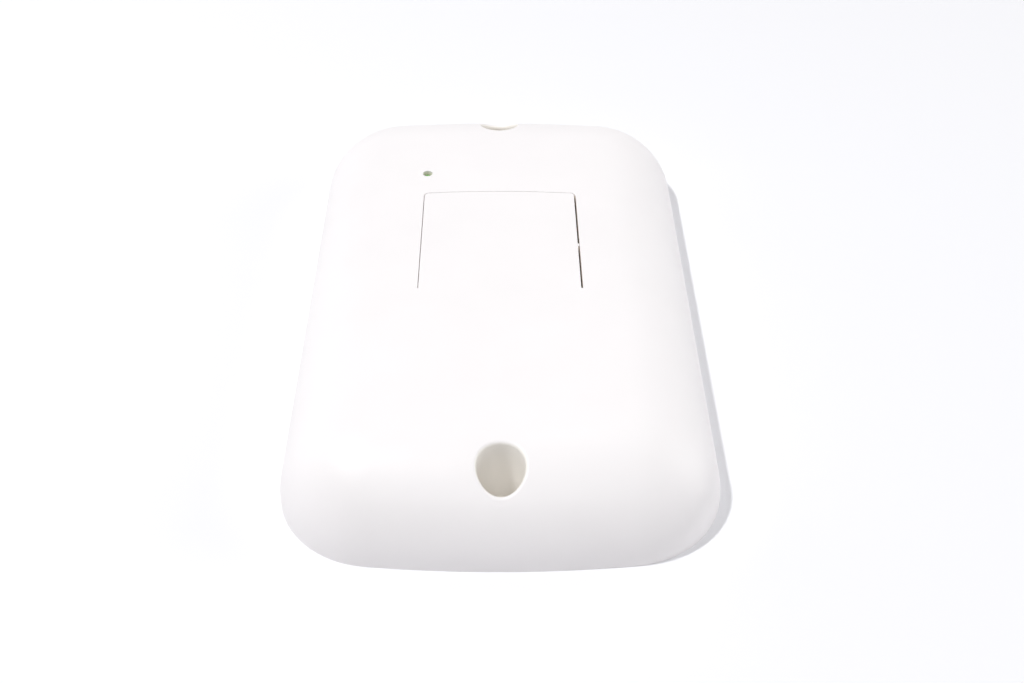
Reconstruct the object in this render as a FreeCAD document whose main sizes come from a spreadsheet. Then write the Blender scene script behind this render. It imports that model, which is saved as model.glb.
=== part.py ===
import FreeCAD, Part
import math
import os
import Sketcher

# Wall-mounted garage door push button, lying on its back.
# +Z points out of the wall, +Y to the end with the light, +X to the right.
# The origin is the middle of the back face. Millimetres and degrees throughout.

# The driving dimensions: name, value and meaning
SIZES = [
    # Housing
    ("body_width", 70, "across the cover"),
    ("body_length", 114, "along the cover, over its bowed ends"),
    ("corner_radius", 16, "outline corner, seen from the front"),
    ("end_bow_radius", 200, "outline arc of the two ends"),
    ("foot_height", 0.5, "upright wall under the front edge's rounding"),
    ("corner_margin", 1.5, "least corner radius left on the front face"),
    ("shell_wall", 2.2, "wall of the front shell"),
    ("cover_seat", 0.8, "ledge in the shell that the rear cover rests on"),
    ("cover_thickness", 2, "rear cover plate"),
    ("cover_clearance", 0.15, "gap round the rear cover"),
    # Wall screws
    ("wall_screw_inset", 9, "wall screws from the ends of the cover"),
    ("wall_hole_diameter", 4, "through hole for a wall screw"),
    ("recess_diameter", 7.4, "recess for a wall screw's head"),
    ("recess_rounding", 0.5, "edge of the recess on the front face"),
    ("recess_floor", 3, "height of the recess floor above the wall"),
    ("column_wall", 1.5, "wall of the screw column round its recess"),
    # Button flap
    ("flap_width", 28.3, "between the centres of the two side slots"),
    ("flap_length", 29.4, "from the bending web to the slot at the free end"),
    ("flap_inset", 34.8, "slot at the free end from the end of the cover"),
    ("slot_gap", 0.32, "width of the slot on the flap's right"),
    ("left_slot_gap", 0.1, "width of the slot on the flap's left"),
    ("end_slot_gap", 0.13, "width of the slot at the flap's free end"),
    ("slot_rounding", 0.1, "edges of the slot on the front face"),
    ("flap_corner_radius", 1, "slot centre line at the flap's free corners"),
    ("web_thickness", 0.9, "flap at its bending web"),
    ("web_length", 2.5, "length of the bending web"),
    ("nib_reach", 12.6, "centring nib from the bending web"),
    ("nib_width", 0.7, "centring nib along the side"),
    ("nib_gap", 0.08, "gap between the nib and the cover"),
    ("presser_radius", 1.2, "boss under the flap that presses the switch"),
    ("presser_height", 0.5, "boss under the flap that presses the switch"),
    ("presser_gap", 0.05, "gap between the boss and the plunger"),
    ("switch_reach", 17.2, "push switch from the bending web"),
    # Circuit board
    ("board_side_margin", 9, "side of the cover to the board's side"),
    ("board_end_margin", 18, "end of the cover to the board's end"),
    ("board_thickness", 1.6, "circuit board"),
    ("board_corner_radius", 2.5, "circuit board corners"),
    ("board_fixing_inset", 3.5, "board screws and pins from the board's edges"),
    ("boss_wall", 1.5, "wall of a moulded screw boss"),
    ("pin_radius", 0.95, "locating pin for the board"),
    ("pin_reach", 0.4, "locating pin beyond the board"),
    ("fit_clearance", 0.1, "radial clearance of plain fits"),
    # Small screws
    ("screw_radius", 1.1, "self-tapping screw shank"),
    ("screw_head_radius", 2, "self-tapping screw head"),
    ("screw_head_height", 1.2, "self-tapping screw head"),
    ("screw_head_rounding", 0.45, "edge of the screw head"),
    ("screw_tip", 0.8, "conical tip of the screw"),
    ("screw_point_radius", 0.3, "end of the conical tip"),
    ("cover_screw_length", 6, "rear cover screw under its head"),
    ("board_screw_length", 5.5, "board screw under its head"),
    ("thread_clearance", 0.03, "between a screw and its pilot hole"),
    ("screw_hole_clearance", 0.2, "between a screw and its clearance hole"),
    ("head_clearance", 0.3, "between a screw head and its recess"),
    ("cross_width", 0.6, "cross recess in a screw head"),
    ("cross_length", 2.4, "cross recess in a screw head"),
    ("cross_depth", 0.7, "cross recess in a screw head"),
    ("cover_screw_side_inset", 10.5, "rear cover screws from the cover's sides"),
    ("cover_screw_end_inset", 12.5, "rear cover screws from the cover's ends"),
    ("head_sink", 0.5, "rear cover screw heads below the back face"),
    ("pad_height", 1, "raised pad round each rear cover screw"),
    ("pad_wall", 1.1, "raised pad round the screw head's recess"),
    # Rear cover details
    ("post_radius", 1.5, "post that backs the board under the switch"),
    ("rib_thickness", 1, "stiffening rib on the rear cover"),
    ("rib_height", 1.4, "stiffening rib on the rear cover"),
    ("rib_gap", 2.6, "stiffening ribs from the battery opening's stops"),
    ("rib_end_margin", 2, "stiffening ribs from the board's ends"),
    # Coin cell and the cap under it
    ("cell_radius", 10, "coin cell"),
    ("cell_height", 3.2, "coin cell"),
    ("cell_sheet", 0.25, "sheet metal of the coin cell"),
    ("cell_gasket", 0.85, "gasket between the two halves of the cell"),
    ("cell_rim_drop", 0.3, "positive can below the negative face"),
    ("cell_seal_rise", 0.1, "gasket above the rim of the can"),
    ("cell_clearance", 0.4, "round the cell in the cap and the holder"),
    ("cell_gap", 0.1, "gap between the cell and the cap under it"),
    ("battery_margin", 4.6, "battery cap from the lower screw column"),
    ("cap_sink", 0.25, "battery cap below the back face"),
    ("cap_flange", 0.7, "thickness of the cap's flange"),
    ("cap_floor", 1.6, "thickness of the cap under the cell"),
    ("cap_clearance", 0.15, "gap round the battery cap"),
    ("hub_wall", 1, "ring wall of the cap round the cell"),
    ("ledge_gap", 0.05, "gap between the flange and its ledge"),
    ("flange_reach", 1.3, "flange of the cap beyond its ring wall"),
    ("lug_reach", 1, "bayonet lug beyond the ring wall"),
    ("lug_height", 0.8, "bayonet lug along the axis"),
    ("lug_gap", 0.1, "gap between a lug and the rear cover"),
    ("lug_angle", 30, "arc of one bayonet lug"),
    ("lug_count", 3, "bayonet lugs"),
    ("notch_margin", 2, "arc of an entry notch beyond each side of its lug"),
    ("cap_turn", 45, "turn of the cap from locked to open"),
    ("stop_angle", 6, "arc of one end stop"),
    ("stop_reach", 1, "end stop beyond the lugs"),
    ("coin_slot_width", 1.8, "coin slot in the cap"),
    ("coin_slot_length", 16, "coin slot in the cap"),
    ("coin_slot_depth", 1, "coin slot in the cap"),
    # Battery holder and contacts
    ("contact_room", 1.25, "between the cell and the board"),
    ("holder_wall", 1, "wall of the battery holder"),
    ("holder_gap", 0.3, "holder's rim above the bayonet lugs"),
    ("holder_floor", 0.6, "floor of the battery holder"),
    ("contact_sheet", 0.25, "sheet metal of the contacts"),
    ("contact_width", 5, "battery contacts"),
    ("contact_gap", 0.05, "between a contact and the cell"),
    ("contact_foot", 3, "soldered foot of a contact"),
    ("contact_tip", 1.5, "flat tip of the negative contact"),
    ("contact_length", 11, "negative contact from end to end"),
    ("contact_clearance", 0.4, "between a contact and the holder"),
    # Push switch
    ("switch_width", 6, "push switch body"),
    ("switch_corner", 0.3, "push switch body"),
    ("switch_floor", 1.6, "floor of the switch chamber above the board"),
    ("dome_rise", 0.45, "switch dome"),
    ("dome_sheet", 0.1, "sheet metal of the dome"),
    ("nub_gap", 0.05, "between the nub and the dome"),
    ("nub_height", 0.55, "nub under the plunger"),
    ("nub_radius", 0.8, "nub under the plunger"),
    ("collar_height", 0.6, "collar that keeps the plunger in"),
    ("collar_lip", 0.35, "collar beyond the plunger"),
    ("collar_gap", 0.05, "collar below the cover plate"),
    ("plunger_radius", 1.75, "switch plunger"),
    ("plunger_stand", 0.75, "plunger above the cover plate"),
    ("chamber_gap", 0.2, "chamber round the plunger's collar"),
    ("plate_thickness", 0.2, "switch cover plate"),
    ("plate_tab_width", 3, "side tab of the cover plate"),
    ("plate_tab_drop", 1.5, "side tab of the cover plate"),
    ("leg_width", 0.7, "switch leg"),
    ("leg_sheet", 0.3, "switch leg"),
    ("leg_pitch", 4.5, "between the legs of one side"),
    ("leg_rise", 0.9, "switch leg above the board"),
    ("lead_reach", 1.3, "leads and legs beyond the board"),
    ("hole_clearance", 0.15, "round leads and legs in the board"),
    # Light
    ("led_side_inset", 0.35, "light inside the line of the side slot"),
    ("led_above_flap", 6.1, "light beyond the slot at the free end"),
    ("led_radius", 0.8, "light's barrel"),
    ("led_hole_clearance", 0.1, "round the light in the cover"),
    ("led_hole_rounding", 0.15, "edge of the light's hole on the front face"),
    ("led_sink", 0.45, "light's tip below the front face"),
    ("led_length", 3.6, "light from its foot to its tip"),
    ("led_flange_radius", 1.2, "light's foot"),
    ("led_flange_height", 0.6, "light's foot"),
    ("led_lead_radius", 0.22, "light's leads"),
    ("led_lead_pitch", 1.2, "between the light's leads"),
    ("led_solder_gap", 0.15, "between the light's two solder cones"),
    ("solder_radius", 0.75, "solder cone on the board"),
    ("solder_taper", 0.25, "solder cone from its foot to its tip"),
    ("solder_height", 0.8, "solder cone on the board"),
    # Chips and small parts
    ("standoff", 0.1, "chip bodies above the board"),
    ("pin_sheet", 0.2, "chip pins"),
    ("pin_width", 0.4, "chip pins"),
    ("pin_foot", 0.55, "flat foot of a chip pin"),
    ("controller_side_inset", 15, "controller chip from the board's right side"),
    ("controller_drop", 18, "controller chip below the switch"),
    ("controller_width", 3.9, "controller chip across its pins"),
    ("controller_length", 8.6, "controller chip along its pins"),
    ("controller_height", 1.5, "controller chip"),
    ("controller_pitch", 1.27, "controller chip pins"),
    ("controller_side_pins", 7, "controller chip pins on one side"),
    ("controller_pin_reach", 1, "controller chip pins"),
    ("radio_side_inset", 12, "radio chip from the board's right side"),
    ("radio_drop", 1, "radio chip and crystal below the switch"),
    ("radio_width", 3, "radio chip across its pins"),
    ("radio_length", 3, "radio chip along its pins"),
    ("radio_height", 0.9, "radio chip"),
    ("radio_pitch", 0.65, "radio chip pins"),
    ("radio_side_pins", 4, "radio chip pins on one side"),
    ("radio_pin_reach", 0.9, "radio chip pins"),
    ("crystal_gap", 2.5, "crystal beyond the radio chip's pins"),
    ("crystal_width", 3.2, "crystal"),
    ("crystal_length", 5, "crystal"),
    ("crystal_base_height", 0.5, "crystal's ceramic base"),
    ("crystal_can_height", 0.6, "crystal's metal lid"),
    ("crystal_can_inset", 0.25, "crystal's metal lid inside its base"),
    ("passive_length", 2, "small chip parts"),
    ("passive_width", 1.25, "small chip parts"),
    ("passive_end", 0.4, "metal ends of small chip parts"),
    ("passive_pitch", 2.4, "between small chip parts of a row"),
    ("passive_row_gap", 5, "between the rows of resistors and capacitors"),
    ("passive_side_inset", 6, "first chip part from the board's side"),
    ("resistor_count", 6, "chip resistors"),
    ("resistor_height", 0.5, "chip resistors"),
    ("capacitor_count", 5, "chip capacitors"),
    ("capacitor_height", 0.8, "chip capacitors"),
    ("inductor_count", 3, "chip inductors"),
    ("inductor_height", 1.1, "chip inductors"),
    ("inductor_rise", 4.5, "chip inductors above the switch"),
    ("inductor_side_inset", 17, "first chip inductor from the board's right side"),
    ("tantalum_shift", 9, "tantalum capacitor to the left of the controller chip's middle"),
    ("tantalum_length", 3.5, "tantalum capacitor"),
    ("tantalum_width", 2.8, "tantalum capacitor"),
    ("tantalum_height", 1.9, "tantalum capacitor"),
    ("tantalum_end", 0.25, "metal ends of the tantalum capacitor"),
    ("tantalum_end_width", 2.2, "metal ends of the tantalum capacitor"),
    ("antenna_side_margin", 8, "antenna loop from the board's right side"),
    ("antenna_end_margin", 3, "antenna loop from the board's end"),
    ("antenna_width", 17, "antenna loop across"),
    ("antenna_length", 17, "antenna loop along"),
    ("antenna_track", 1.2, "antenna track"),
    ("antenna_copper", 0.05, "thickness of the antenna track"),
    ("antenna_feed_gap", 3, "gap between the two ends of the loop"),
]

doc = FreeCAD.newDocument("garage_door_remote")
sheet = doc.addObject("Spreadsheet::Sheet", "dim")
for row, (alias, value, meaning) in enumerate(SIZES, start=1):
    sheet.set(f"A{row}", meaning)
    sheet.set(f"B{row}", str(value))
    sheet.setAlias(f"B{row}", alias)
doc.recompute()

# How far a cutting form runs past the material that it cuts
PAST = "1"

# Two points nearer than this are the same point
TOUCH = 0.001

# Heights that follow from what is stacked between the wall and the front face
CAP_INSIDE = "(dim.cap_sink + dim.cap_floor)"
CELL_BACK = f"({CAP_INSIDE} + dim.cell_gap)"
CELL_FRONT = f"({CELL_BACK} + dim.cell_height)"
BOARD_BACK = f"({CELL_FRONT} + dim.contact_room)"
BOARD_FRONT = f"({BOARD_BACK} + dim.board_thickness)"
CHAMBER_FLOOR = f"({BOARD_FRONT} + dim.switch_floor)"
DOME_TOP = f"({CHAMBER_FLOOR} + dim.dome_rise)"
NUB_LOW = f"({DOME_TOP} + dim.nub_gap)"
COLLAR_LOW = f"({NUB_LOW} + dim.nub_height)"
COLLAR_TOP = f"({COLLAR_LOW} + dim.collar_height)"
SWITCH_TOP = f"({COLLAR_TOP} + dim.collar_gap)"
PLATE_TOP = f"({SWITCH_TOP} + dim.plate_thickness)"
PLUNGER_TOP = f"({PLATE_TOP} + dim.plunger_stand)"
ROOF = f"({PLUNGER_TOP} + dim.presser_gap + dim.presser_height)"
FRONT_FACE = f"({ROOF} + dim.shell_wall)"
COVER_TOP = "dim.cover_thickness"
PAD_TOP = "(dim.cover_thickness + dim.pad_height)"
HEAD_SEAT = "(dim.head_sink + dim.screw_head_height)"
LUG_BASE = "(dim.cover_thickness + dim.lug_gap)"
LUG_TOP = f"({LUG_BASE} + dim.lug_height)"
FLANGE_TOP = "(dim.cap_sink + dim.cap_flange)"
HOLDER_RIM = f"({LUG_TOP} + dim.holder_gap)"
LEAD_TIP = f"({BOARD_BACK} - dim.lead_reach)"
LED_TIP = f"({FRONT_FACE} - dim.led_sink)"
LED_FOOT = f"({LED_TIP} - dim.led_length)"

# Roundings: the front edge takes the whole height but leaves a corner on the front face
EDGE_RADIUS = f"min({FRONT_FACE} - dim.foot_height; dim.corner_radius - dim.corner_margin)"
BOW_CENTRE = "(dim.end_bow_radius - dim.body_length / 2)"

# Radii of fitting pieces
COLUMN_RADIUS = "(dim.recess_diameter / 2 + dim.column_wall)"
BOSS_RADIUS = "(dim.screw_radius + dim.boss_wall)"
PILOT_RADIUS = "(dim.screw_radius + dim.thread_clearance)"
SCREW_HOLE = "(dim.screw_radius + dim.screw_hole_clearance)"
HEAD_RECESS = "(dim.screw_head_radius + dim.head_clearance)"
HUB_INSIDE = "(dim.cell_radius + dim.cell_clearance)"
HUB_RADIUS = f"({HUB_INSIDE} + dim.hub_wall)"
HUB_HOLE = f"({HUB_RADIUS} + dim.cap_clearance)"
LUG_RADIUS = f"({HUB_RADIUS} + dim.lug_reach)"
CAP_RADIUS = f"({HUB_RADIUS} + dim.flange_reach)"
STOP_INSIDE = f"({HUB_HOLE} + dim.cap_clearance)"
STOP_RADIUS = f"({LUG_RADIUS} + dim.stop_reach)"
CELL_CAP_RADIUS = "(dim.cell_radius - dim.cell_sheet - dim.cell_gasket)"
COLLAR_RADIUS = "(dim.plunger_radius + dim.collar_lip)"
CHAMBER_RADIUS = f"({COLLAR_RADIUS} + dim.chamber_gap)"

# Places in plan
WALL_SCREW_Y = "(dim.body_length / 2 - dim.wall_screw_inset)"
COVER_SCREW_X = "(dim.body_width / 2 - dim.cover_screw_side_inset)"
COVER_SCREW_Y = "(dim.body_length / 2 - dim.cover_screw_end_inset)"
FLAP_TOP_Y = "(dim.body_length / 2 - dim.flap_inset)"
HINGE_Y = f"({FLAP_TOP_Y} - dim.flap_length)"
NIB_Y = f"({HINGE_Y} + dim.nib_reach)"
SWITCH_Y = f"({HINGE_Y} + dim.switch_reach)"
LED_X = "(dim.led_side_inset - dim.flap_width / 2)"
LED_Y = f"({FLAP_TOP_Y} + dim.led_above_flap)"
BATTERY_Y = f"({COLUMN_RADIUS} + dim.battery_margin + {CAP_RADIUS} - {WALL_SCREW_Y})"
BOARD_WIDTH = "(dim.body_width - 2 * dim.board_side_margin)"
BOARD_LENGTH = "(dim.body_length - 2 * dim.board_end_margin)"
BOARD_FIXING_X = f"({BOARD_WIDTH} / 2 - dim.board_fixing_inset)"
BOARD_FIXING_Y = f"({BOARD_LENGTH} / 2 - dim.board_fixing_inset)"
RIB_X = f"({STOP_RADIUS} + dim.rib_gap + dim.rib_thickness / 2)"
CONTROLLER_X = f"({BOARD_WIDTH} / 2 - dim.controller_side_inset)"
CONTROLLER_Y = f"({SWITCH_Y} - dim.controller_drop)"
RADIO_X = f"({BOARD_WIDTH} / 2 - dim.radio_side_inset)"
RADIO_Y = f"({SWITCH_Y} - dim.radio_drop)"
RADIO_EDGE = f"({RADIO_X} + dim.radio_width / 2 + dim.radio_pin_reach)"
CRYSTAL_X = f"({RADIO_EDGE} + dim.crystal_gap + dim.crystal_width / 2)"
PASSIVE_X = f"(dim.passive_side_inset - {BOARD_WIDTH} / 2)"
INDUCTOR_X = f"({BOARD_WIDTH} / 2 - dim.inductor_side_inset)"
INDUCTOR_Y = f"({SWITCH_Y} + dim.inductor_rise)"
TANTALUM_X = f"({CONTROLLER_X} - dim.tantalum_shift)"
SECOND_ROW_Y = f"({CONTROLLER_Y} - dim.passive_row_gap)"
ANTENNA_TOP = f"({BOARD_LENGTH} / 2 - dim.antenna_end_margin)"
ANTENNA_RIGHT = f"({BOARD_WIDTH} / 2 - dim.antenna_side_margin)"


def number(expression):
    """The present value of an expression."""
    value = sheet.evalExpression(expression)
    return float(getattr(value, "Value", value))


def how_many(expression):
    """The present value of a count."""
    return round(number(expression))


def place(item, x="0", y="0", z="0", turn=None):
    """Binds an object's place, and its turn about Z."""
    item.setExpression(".Placement.Base.x", x)
    item.setExpression(".Placement.Base.y", y)
    item.setExpression(".Placement.Base.z", z)
    if turn is not None:
        item.setExpression(".Placement.Rotation.Angle", turn)
    return item


def box(name, x, y, z):
    """A block between two X, two Y and two Z values."""
    item = doc.addObject("Part::Box", name)
    item.setExpression("Length", f"({x[1]}) - ({x[0]})")
    item.setExpression("Width", f"({y[1]}) - ({y[0]})")
    item.setExpression("Height", f"({z[1]}) - ({z[0]})")
    return place(item, x[0], y[0], z[0])


def centred_box(name, x, y, width, length, z):
    """A block of a width and length, centred on X and Y."""
    across = (f"{x} - ({width}) / 2", f"{x} + ({width}) / 2")
    along = (f"{y} - ({length}) / 2", f"{y} + ({length}) / 2")
    return box(name, across, along, z)


def cylinder(name, radius, x, y, z, angle="360", turn="0"):
    """An upright cylinder, or a sector of one, between two heights."""
    item = doc.addObject("Part::Cylinder", name)
    item.setExpression("Radius", radius)
    item.setExpression("Height", f"({z[1]}) - ({z[0]})")
    item.setExpression("Angle", angle)
    return place(item, x, y, z[0], turn)


def cone(name, low_radius, high_radius, x, y, z):
    """An upright cone between two heights."""
    item = doc.addObject("Part::Cone", name)
    item.setExpression("Radius1", low_radius)
    item.setExpression("Radius2", high_radius)
    item.setExpression("Height", f"({z[1]}) - ({z[0]})")
    return place(item, x, y, z[0])


def ball(name, radius, x, y, z):
    item = doc.addObject("Part::Sphere", name)
    item.setExpression("Radius", radius)
    return place(item, x, y, z)


def join(name, parts):
    """One solid, or a set of cutting forms, from several parts."""
    item = doc.addObject("Part::MultiFuse", name)
    item.Shapes = parts
    return item


def cut(name, base, tools):
    """A base with several forms cut out of it."""
    item = doc.addObject("Part::Cut", name)
    item.Base = base
    item.Tool = tools[0] if len(tools) == 1 else join(f"{name}_tools", tools)
    return item


def common(name, first, second):
    """What two forms share."""
    item = doc.addObject("Part::Common", name)
    item.Base = first
    item.Tool = second
    return item


def group(name, parts):
    """Separate solids that share one node."""
    item = doc.addObject("Part::Compound", name)
    item.Links = parts
    return item


def ring(name, inner, outer, x, y, z, angle="360", turn="0"):
    """An upright ring, or a sector of one."""
    wide = cylinder(f"{name}_wide", outer, x, y, z, angle, turn)
    reach = (f"{z[0]} - {PAST}", f"{z[1]} + {PAST}")
    return cut(name, wide, [cylinder(f"{name}_bore", inner, x, y, reach)])


def new_sketch(name, role):
    """A body with a sketch on one of its origin planes."""
    body = doc.addObject("PartDesign::Body", name)
    sketch = body.newObject("Sketcher::SketchObject", f"{name}_sketch")
    plane = [item for item in body.Origin.OriginFeatures if item.Role == role][0]
    sketch.AttachmentSupport = [(plane, "")]
    sketch.MapMode = "FlatFace"
    return body, sketch


def bind(sketch, kind, elements, expression):
    """Adds a sketch dimension that follows the sheet."""
    index = sketch.addConstraint(Sketcher.Constraint(kind, *elements, number(expression)))
    sketch.setExpression(f"Constraints[{index}]", expression)


def tie(sketch, kind, *elements):
    """Adds a sketch constraint that has no value."""
    sketch.addConstraint(Sketcher.Constraint(kind, *elements))


def draw_line(sketch, start, end):
    first = FreeCAD.Vector(start[0], start[1], 0)
    last = FreeCAD.Vector(end[0], end[1], 0)
    return sketch.addGeometry(Part.LineSegment(first, last))


def draw_arc(sketch, centre, radius, start, end):
    circle = Part.Circle(FreeCAD.Vector(centre[0], centre[1], 0), FreeCAD.Vector(0, 0, 1), radius)
    return sketch.addGeometry(Part.ArcOfCircle(circle, start, end))


def draw_polygon(sketch, points):
    """A closed outline whose corners are pairs of expressions."""
    spots = [(number(x), number(y)) for x, y in points]
    lines = [draw_line(sketch, spot, spots[(i + 1) % len(spots)]) for i, spot in enumerate(spots)]
    for i, line in enumerate(lines):
        tie(sketch, "Coincident", line, 2, lines[(i + 1) % len(lines)], 1)
    for line, (x, y) in zip(lines, points):
        if x == "0":
            tie(sketch, "PointOnObject", line, 1, -2)
        else:
            bind(sketch, "DistanceX", (line, 1), x)
        bind(sketch, "DistanceY", (line, 1), y)


def pad(body, sketch, length, centred=False):
    item = body.newObject("PartDesign::Pad", f"{body.Name}_pad")
    item.Profile = sketch
    item.Midplane = centred
    item.setExpression("Length", length)
    doc.recompute()
    return item


def fillet(body, base, edges, radius):
    item = body.newObject("PartDesign::Fillet", f"{body.Name}_fillet")
    item.Base = (base, edges)
    item.setExpression("Radius", radius)
    doc.recompute()
    return item


def edge_names(shape, wanted):
    return [f"Edge{i + 1}" for i, edge in enumerate(shape.Edges) if wanted(edge)]


def spots_along(edge):
    """The two ends and the middle of an edge."""
    first, last = edge.FirstParameter, edge.LastParameter
    return [edge.valueAt(spot) for spot in (first, (first + last) / 2, last)]


def round_edges(name, base, kinds):
    """Rounds the edges that each test picks, by the radius that goes with the test."""
    doc.recompute()
    item = doc.addObject("Part::Fillet", name)
    item.Base = base
    edges = []
    for radius, wanted in kinds:
        rounding = number(radius)
        for i, edge in enumerate(base.Shape.Edges):
            if wanted(spots_along(edge)):
                edges.append((i + 1, rounding, rounding))
    item.Edges = edges
    return item


def on_circle(spot, x, y, radius):
    return math.isclose(math.hypot(spot.x - x, spot.y - y), radius, abs_tol=TOUCH)


def recess_rim(spots):
    """True for the upper rim of a wall screw's recess."""
    radius, y, roof = number("dim.recess_diameter / 2"), number(WALL_SCREW_Y), number("dim.recess_floor")
    return any(all(on_circle(spot, 0, end, radius) and spot.z > roof + radius / 2 for spot in spots)
               for end in (y, -y))


def light_rim(spots):
    """True for the upper rim of the light's hole."""
    x, y, front = number(LED_X), number(LED_Y), number(FRONT_FACE)
    radius = number("dim.led_radius + dim.led_hole_clearance")
    return all(on_circle(spot, x, y, radius) and spot.z > front - TOUCH for spot in spots)


def slot_rim(spots):
    """True for the slot's edges on the front face, without the one at the bending web."""
    side, end, low = number("dim.flap_width / 2"), number(FLAP_TOP_Y), number(HINGE_Y)
    reach = number("dim.slot_gap + dim.flap_corner_radius")
    front = number(FRONT_FACE)
    inside = all(spot.z > front - TOUCH and abs(spot.x) < side + reach and low - TOUCH < spot.y < end + reach
                 for spot in spots)
    return inside and not all(spot.y < low + TOUCH for spot in spots)


def turned(name, points, x, y):
    """A body turned about its own upright axis, from pairs of radius and height."""
    body, sketch = new_sketch(name, "XZ_Plane")
    draw_polygon(sketch, points)
    item = body.newObject("PartDesign::Revolution", f"{name}_turn")
    item.Profile = sketch
    item.ReferenceAxis = (sketch, ["V_Axis"])
    item.Angle = 360
    doc.recompute()
    return place(body, x, y)


def plate(name, x, y, width, length, z, corner):
    """A block with rounded upright corners, centred on X and Y."""
    body, sketch = new_sketch(name, "XY_Plane")
    right, top = f"({width}) / 2", f"({length}) / 2"
    left, bottom = f"-({width}) / 2", f"-({length}) / 2"
    draw_polygon(sketch, [(left, bottom), (right, bottom), (right, top), (left, top)])
    block = pad(body, sketch, f"({z[1]}) - ({z[0]})")
    middle = block.Shape.BoundBox.Center.z
    upright = edge_names(block.Shape, lambda edge: edge.BoundBox.ZMin < middle < edge.BoundBox.ZMax)
    fillet(body, block, upright, corner)
    return place(body, x, y, z[0])


def bowed_end(half_width, corner_radius, bow_radius):
    """Middle of the right corner arc of a bowed end, and the angle where it meets the bow."""
    x = half_width - corner_radius
    y = math.sqrt((bow_radius - corner_radius) ** 2 - x ** 2)
    return x, y - number(BOW_CENTRE), math.atan2(y, x)


def outline_form(name, inset, z, rounding=None):
    """The cover's outline drawn in by an inset, between two heights, with its front edge rounded."""
    body, sketch = new_sketch(name, "XY_Plane")
    half = f"dim.body_width / 2 - ({inset})"
    corner = f"dim.corner_radius - ({inset})"
    bow = f"dim.end_bow_radius - ({inset})"
    w, corner_r, bow_r, bow_y = number(half), number(corner), number(bow), number(BOW_CENTRE)
    x, y, lean = bowed_end(w, corner_r, bow_r)
    parts = [
        draw_line(sketch, (w, -y), (w, y)),
        draw_arc(sketch, (x, y), corner_r, 0, lean),
        draw_arc(sketch, (0, -bow_y), bow_r, lean, math.pi - lean),
        draw_arc(sketch, (-x, y), corner_r, math.pi - lean, math.pi),
        draw_line(sketch, (-w, y), (-w, -y)),
        draw_arc(sketch, (-x, -y), corner_r, math.pi, math.pi + lean),
        draw_arc(sketch, (0, bow_y), bow_r, math.pi + lean, 2 * math.pi - lean),
        draw_arc(sketch, (x, -y), corner_r, -lean, 0),
    ]
    for i, part in enumerate(parts):
        tie(sketch, "Tangent", part, 2, parts[(i + 1) % len(parts)], 1)
    tie(sketch, "Vertical", parts[0])
    tie(sketch, "Vertical", parts[4])
    for arc in (parts[1], parts[3], parts[5], parts[7]):
        bind(sketch, "Radius", (arc,), corner)
    for arc, centre in ((parts[2], f"-{BOW_CENTRE}"), (parts[6], BOW_CENTRE)):
        bind(sketch, "Radius", (arc,), bow)
        tie(sketch, "PointOnObject", arc, 3, -2)
        bind(sketch, "DistanceY", (arc, 3), centre)
    bind(sketch, "DistanceX", (parts[0], 1), half)
    bind(sketch, "DistanceX", (parts[4], 1), f"-({half})")
    block = pad(body, sketch, f"({z[1]}) - ({z[0]})")
    if rounding is not None:
        middle = block.Shape.BoundBox.Center.z
        rim = edge_names(block.Shape, lambda edge: edge.BoundBox.ZMin > middle)
        fillet(body, block, rim, rounding)
    return place(body, z=z[0])


def flap_form(name, side, z):
    """The outline on the cover's side, 1, or the flap's side, -1, of the slot, between two heights."""
    body, sketch = new_sketch(name, "XY_Plane")
    right_gap, left_gap, end_gap = (f"({side}) * dim.{gap} / 2" for gap in SLOT_GAPS)
    right, left = f"dim.flap_width / 2 + {right_gap}", f"dim.flap_width / 2 + {left_gap}"
    right_corner = f"dim.flap_corner_radius + {right_gap}"
    left_corner = f"dim.flap_corner_radius + {left_gap}"
    bow = f"{BOW_CENTRE} + {FLAP_TOP_Y} + {end_gap}"
    base, bow_y, bow_r = number(HINGE_Y), number(BOW_CENTRE), number(bow)
    right_w, left_w = number(right), number(left)
    right_r, left_r = number(right_corner), number(left_corner)
    right_x, right_y, right_lean = bowed_end(right_w, right_r, bow_r)
    left_x, left_y, left_lean = bowed_end(left_w, left_r, bow_r)
    parts = [
        draw_line(sketch, (right_w, base), (right_w, right_y)),
        draw_arc(sketch, (right_x, right_y), right_r, 0, right_lean),
        draw_arc(sketch, (0, -bow_y), bow_r, right_lean, math.pi - left_lean),
        draw_arc(sketch, (-left_x, left_y), left_r, math.pi - left_lean, math.pi),
        draw_line(sketch, (-left_w, left_y), (-left_w, base)),
        draw_line(sketch, (-left_w, base), (right_w, base)),
    ]
    for i in range(4):
        tie(sketch, "Tangent", parts[i], 2, parts[i + 1], 1)
    tie(sketch, "Coincident", parts[4], 2, parts[5], 1)
    tie(sketch, "Coincident", parts[5], 2, parts[0], 1)
    tie(sketch, "Vertical", parts[0])
    tie(sketch, "Vertical", parts[4])
    tie(sketch, "Horizontal", parts[5])
    bind(sketch, "Radius", (parts[1],), right_corner)
    bind(sketch, "Radius", (parts[3],), left_corner)
    bind(sketch, "Radius", (parts[2],), bow)
    tie(sketch, "PointOnObject", parts[2], 3, -2)
    bind(sketch, "DistanceY", (parts[2], 3), f"-{BOW_CENTRE}")
    bind(sketch, "DistanceX", (parts[0], 1), right)
    bind(sketch, "DistanceX", (parts[4], 1), f"-({left})")
    bind(sketch, "DistanceY", (parts[5], 1), HINGE_Y)
    pad(body, sketch, f"({z[1]}) - ({z[0]})")
    return place(body, z=z[0])


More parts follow.
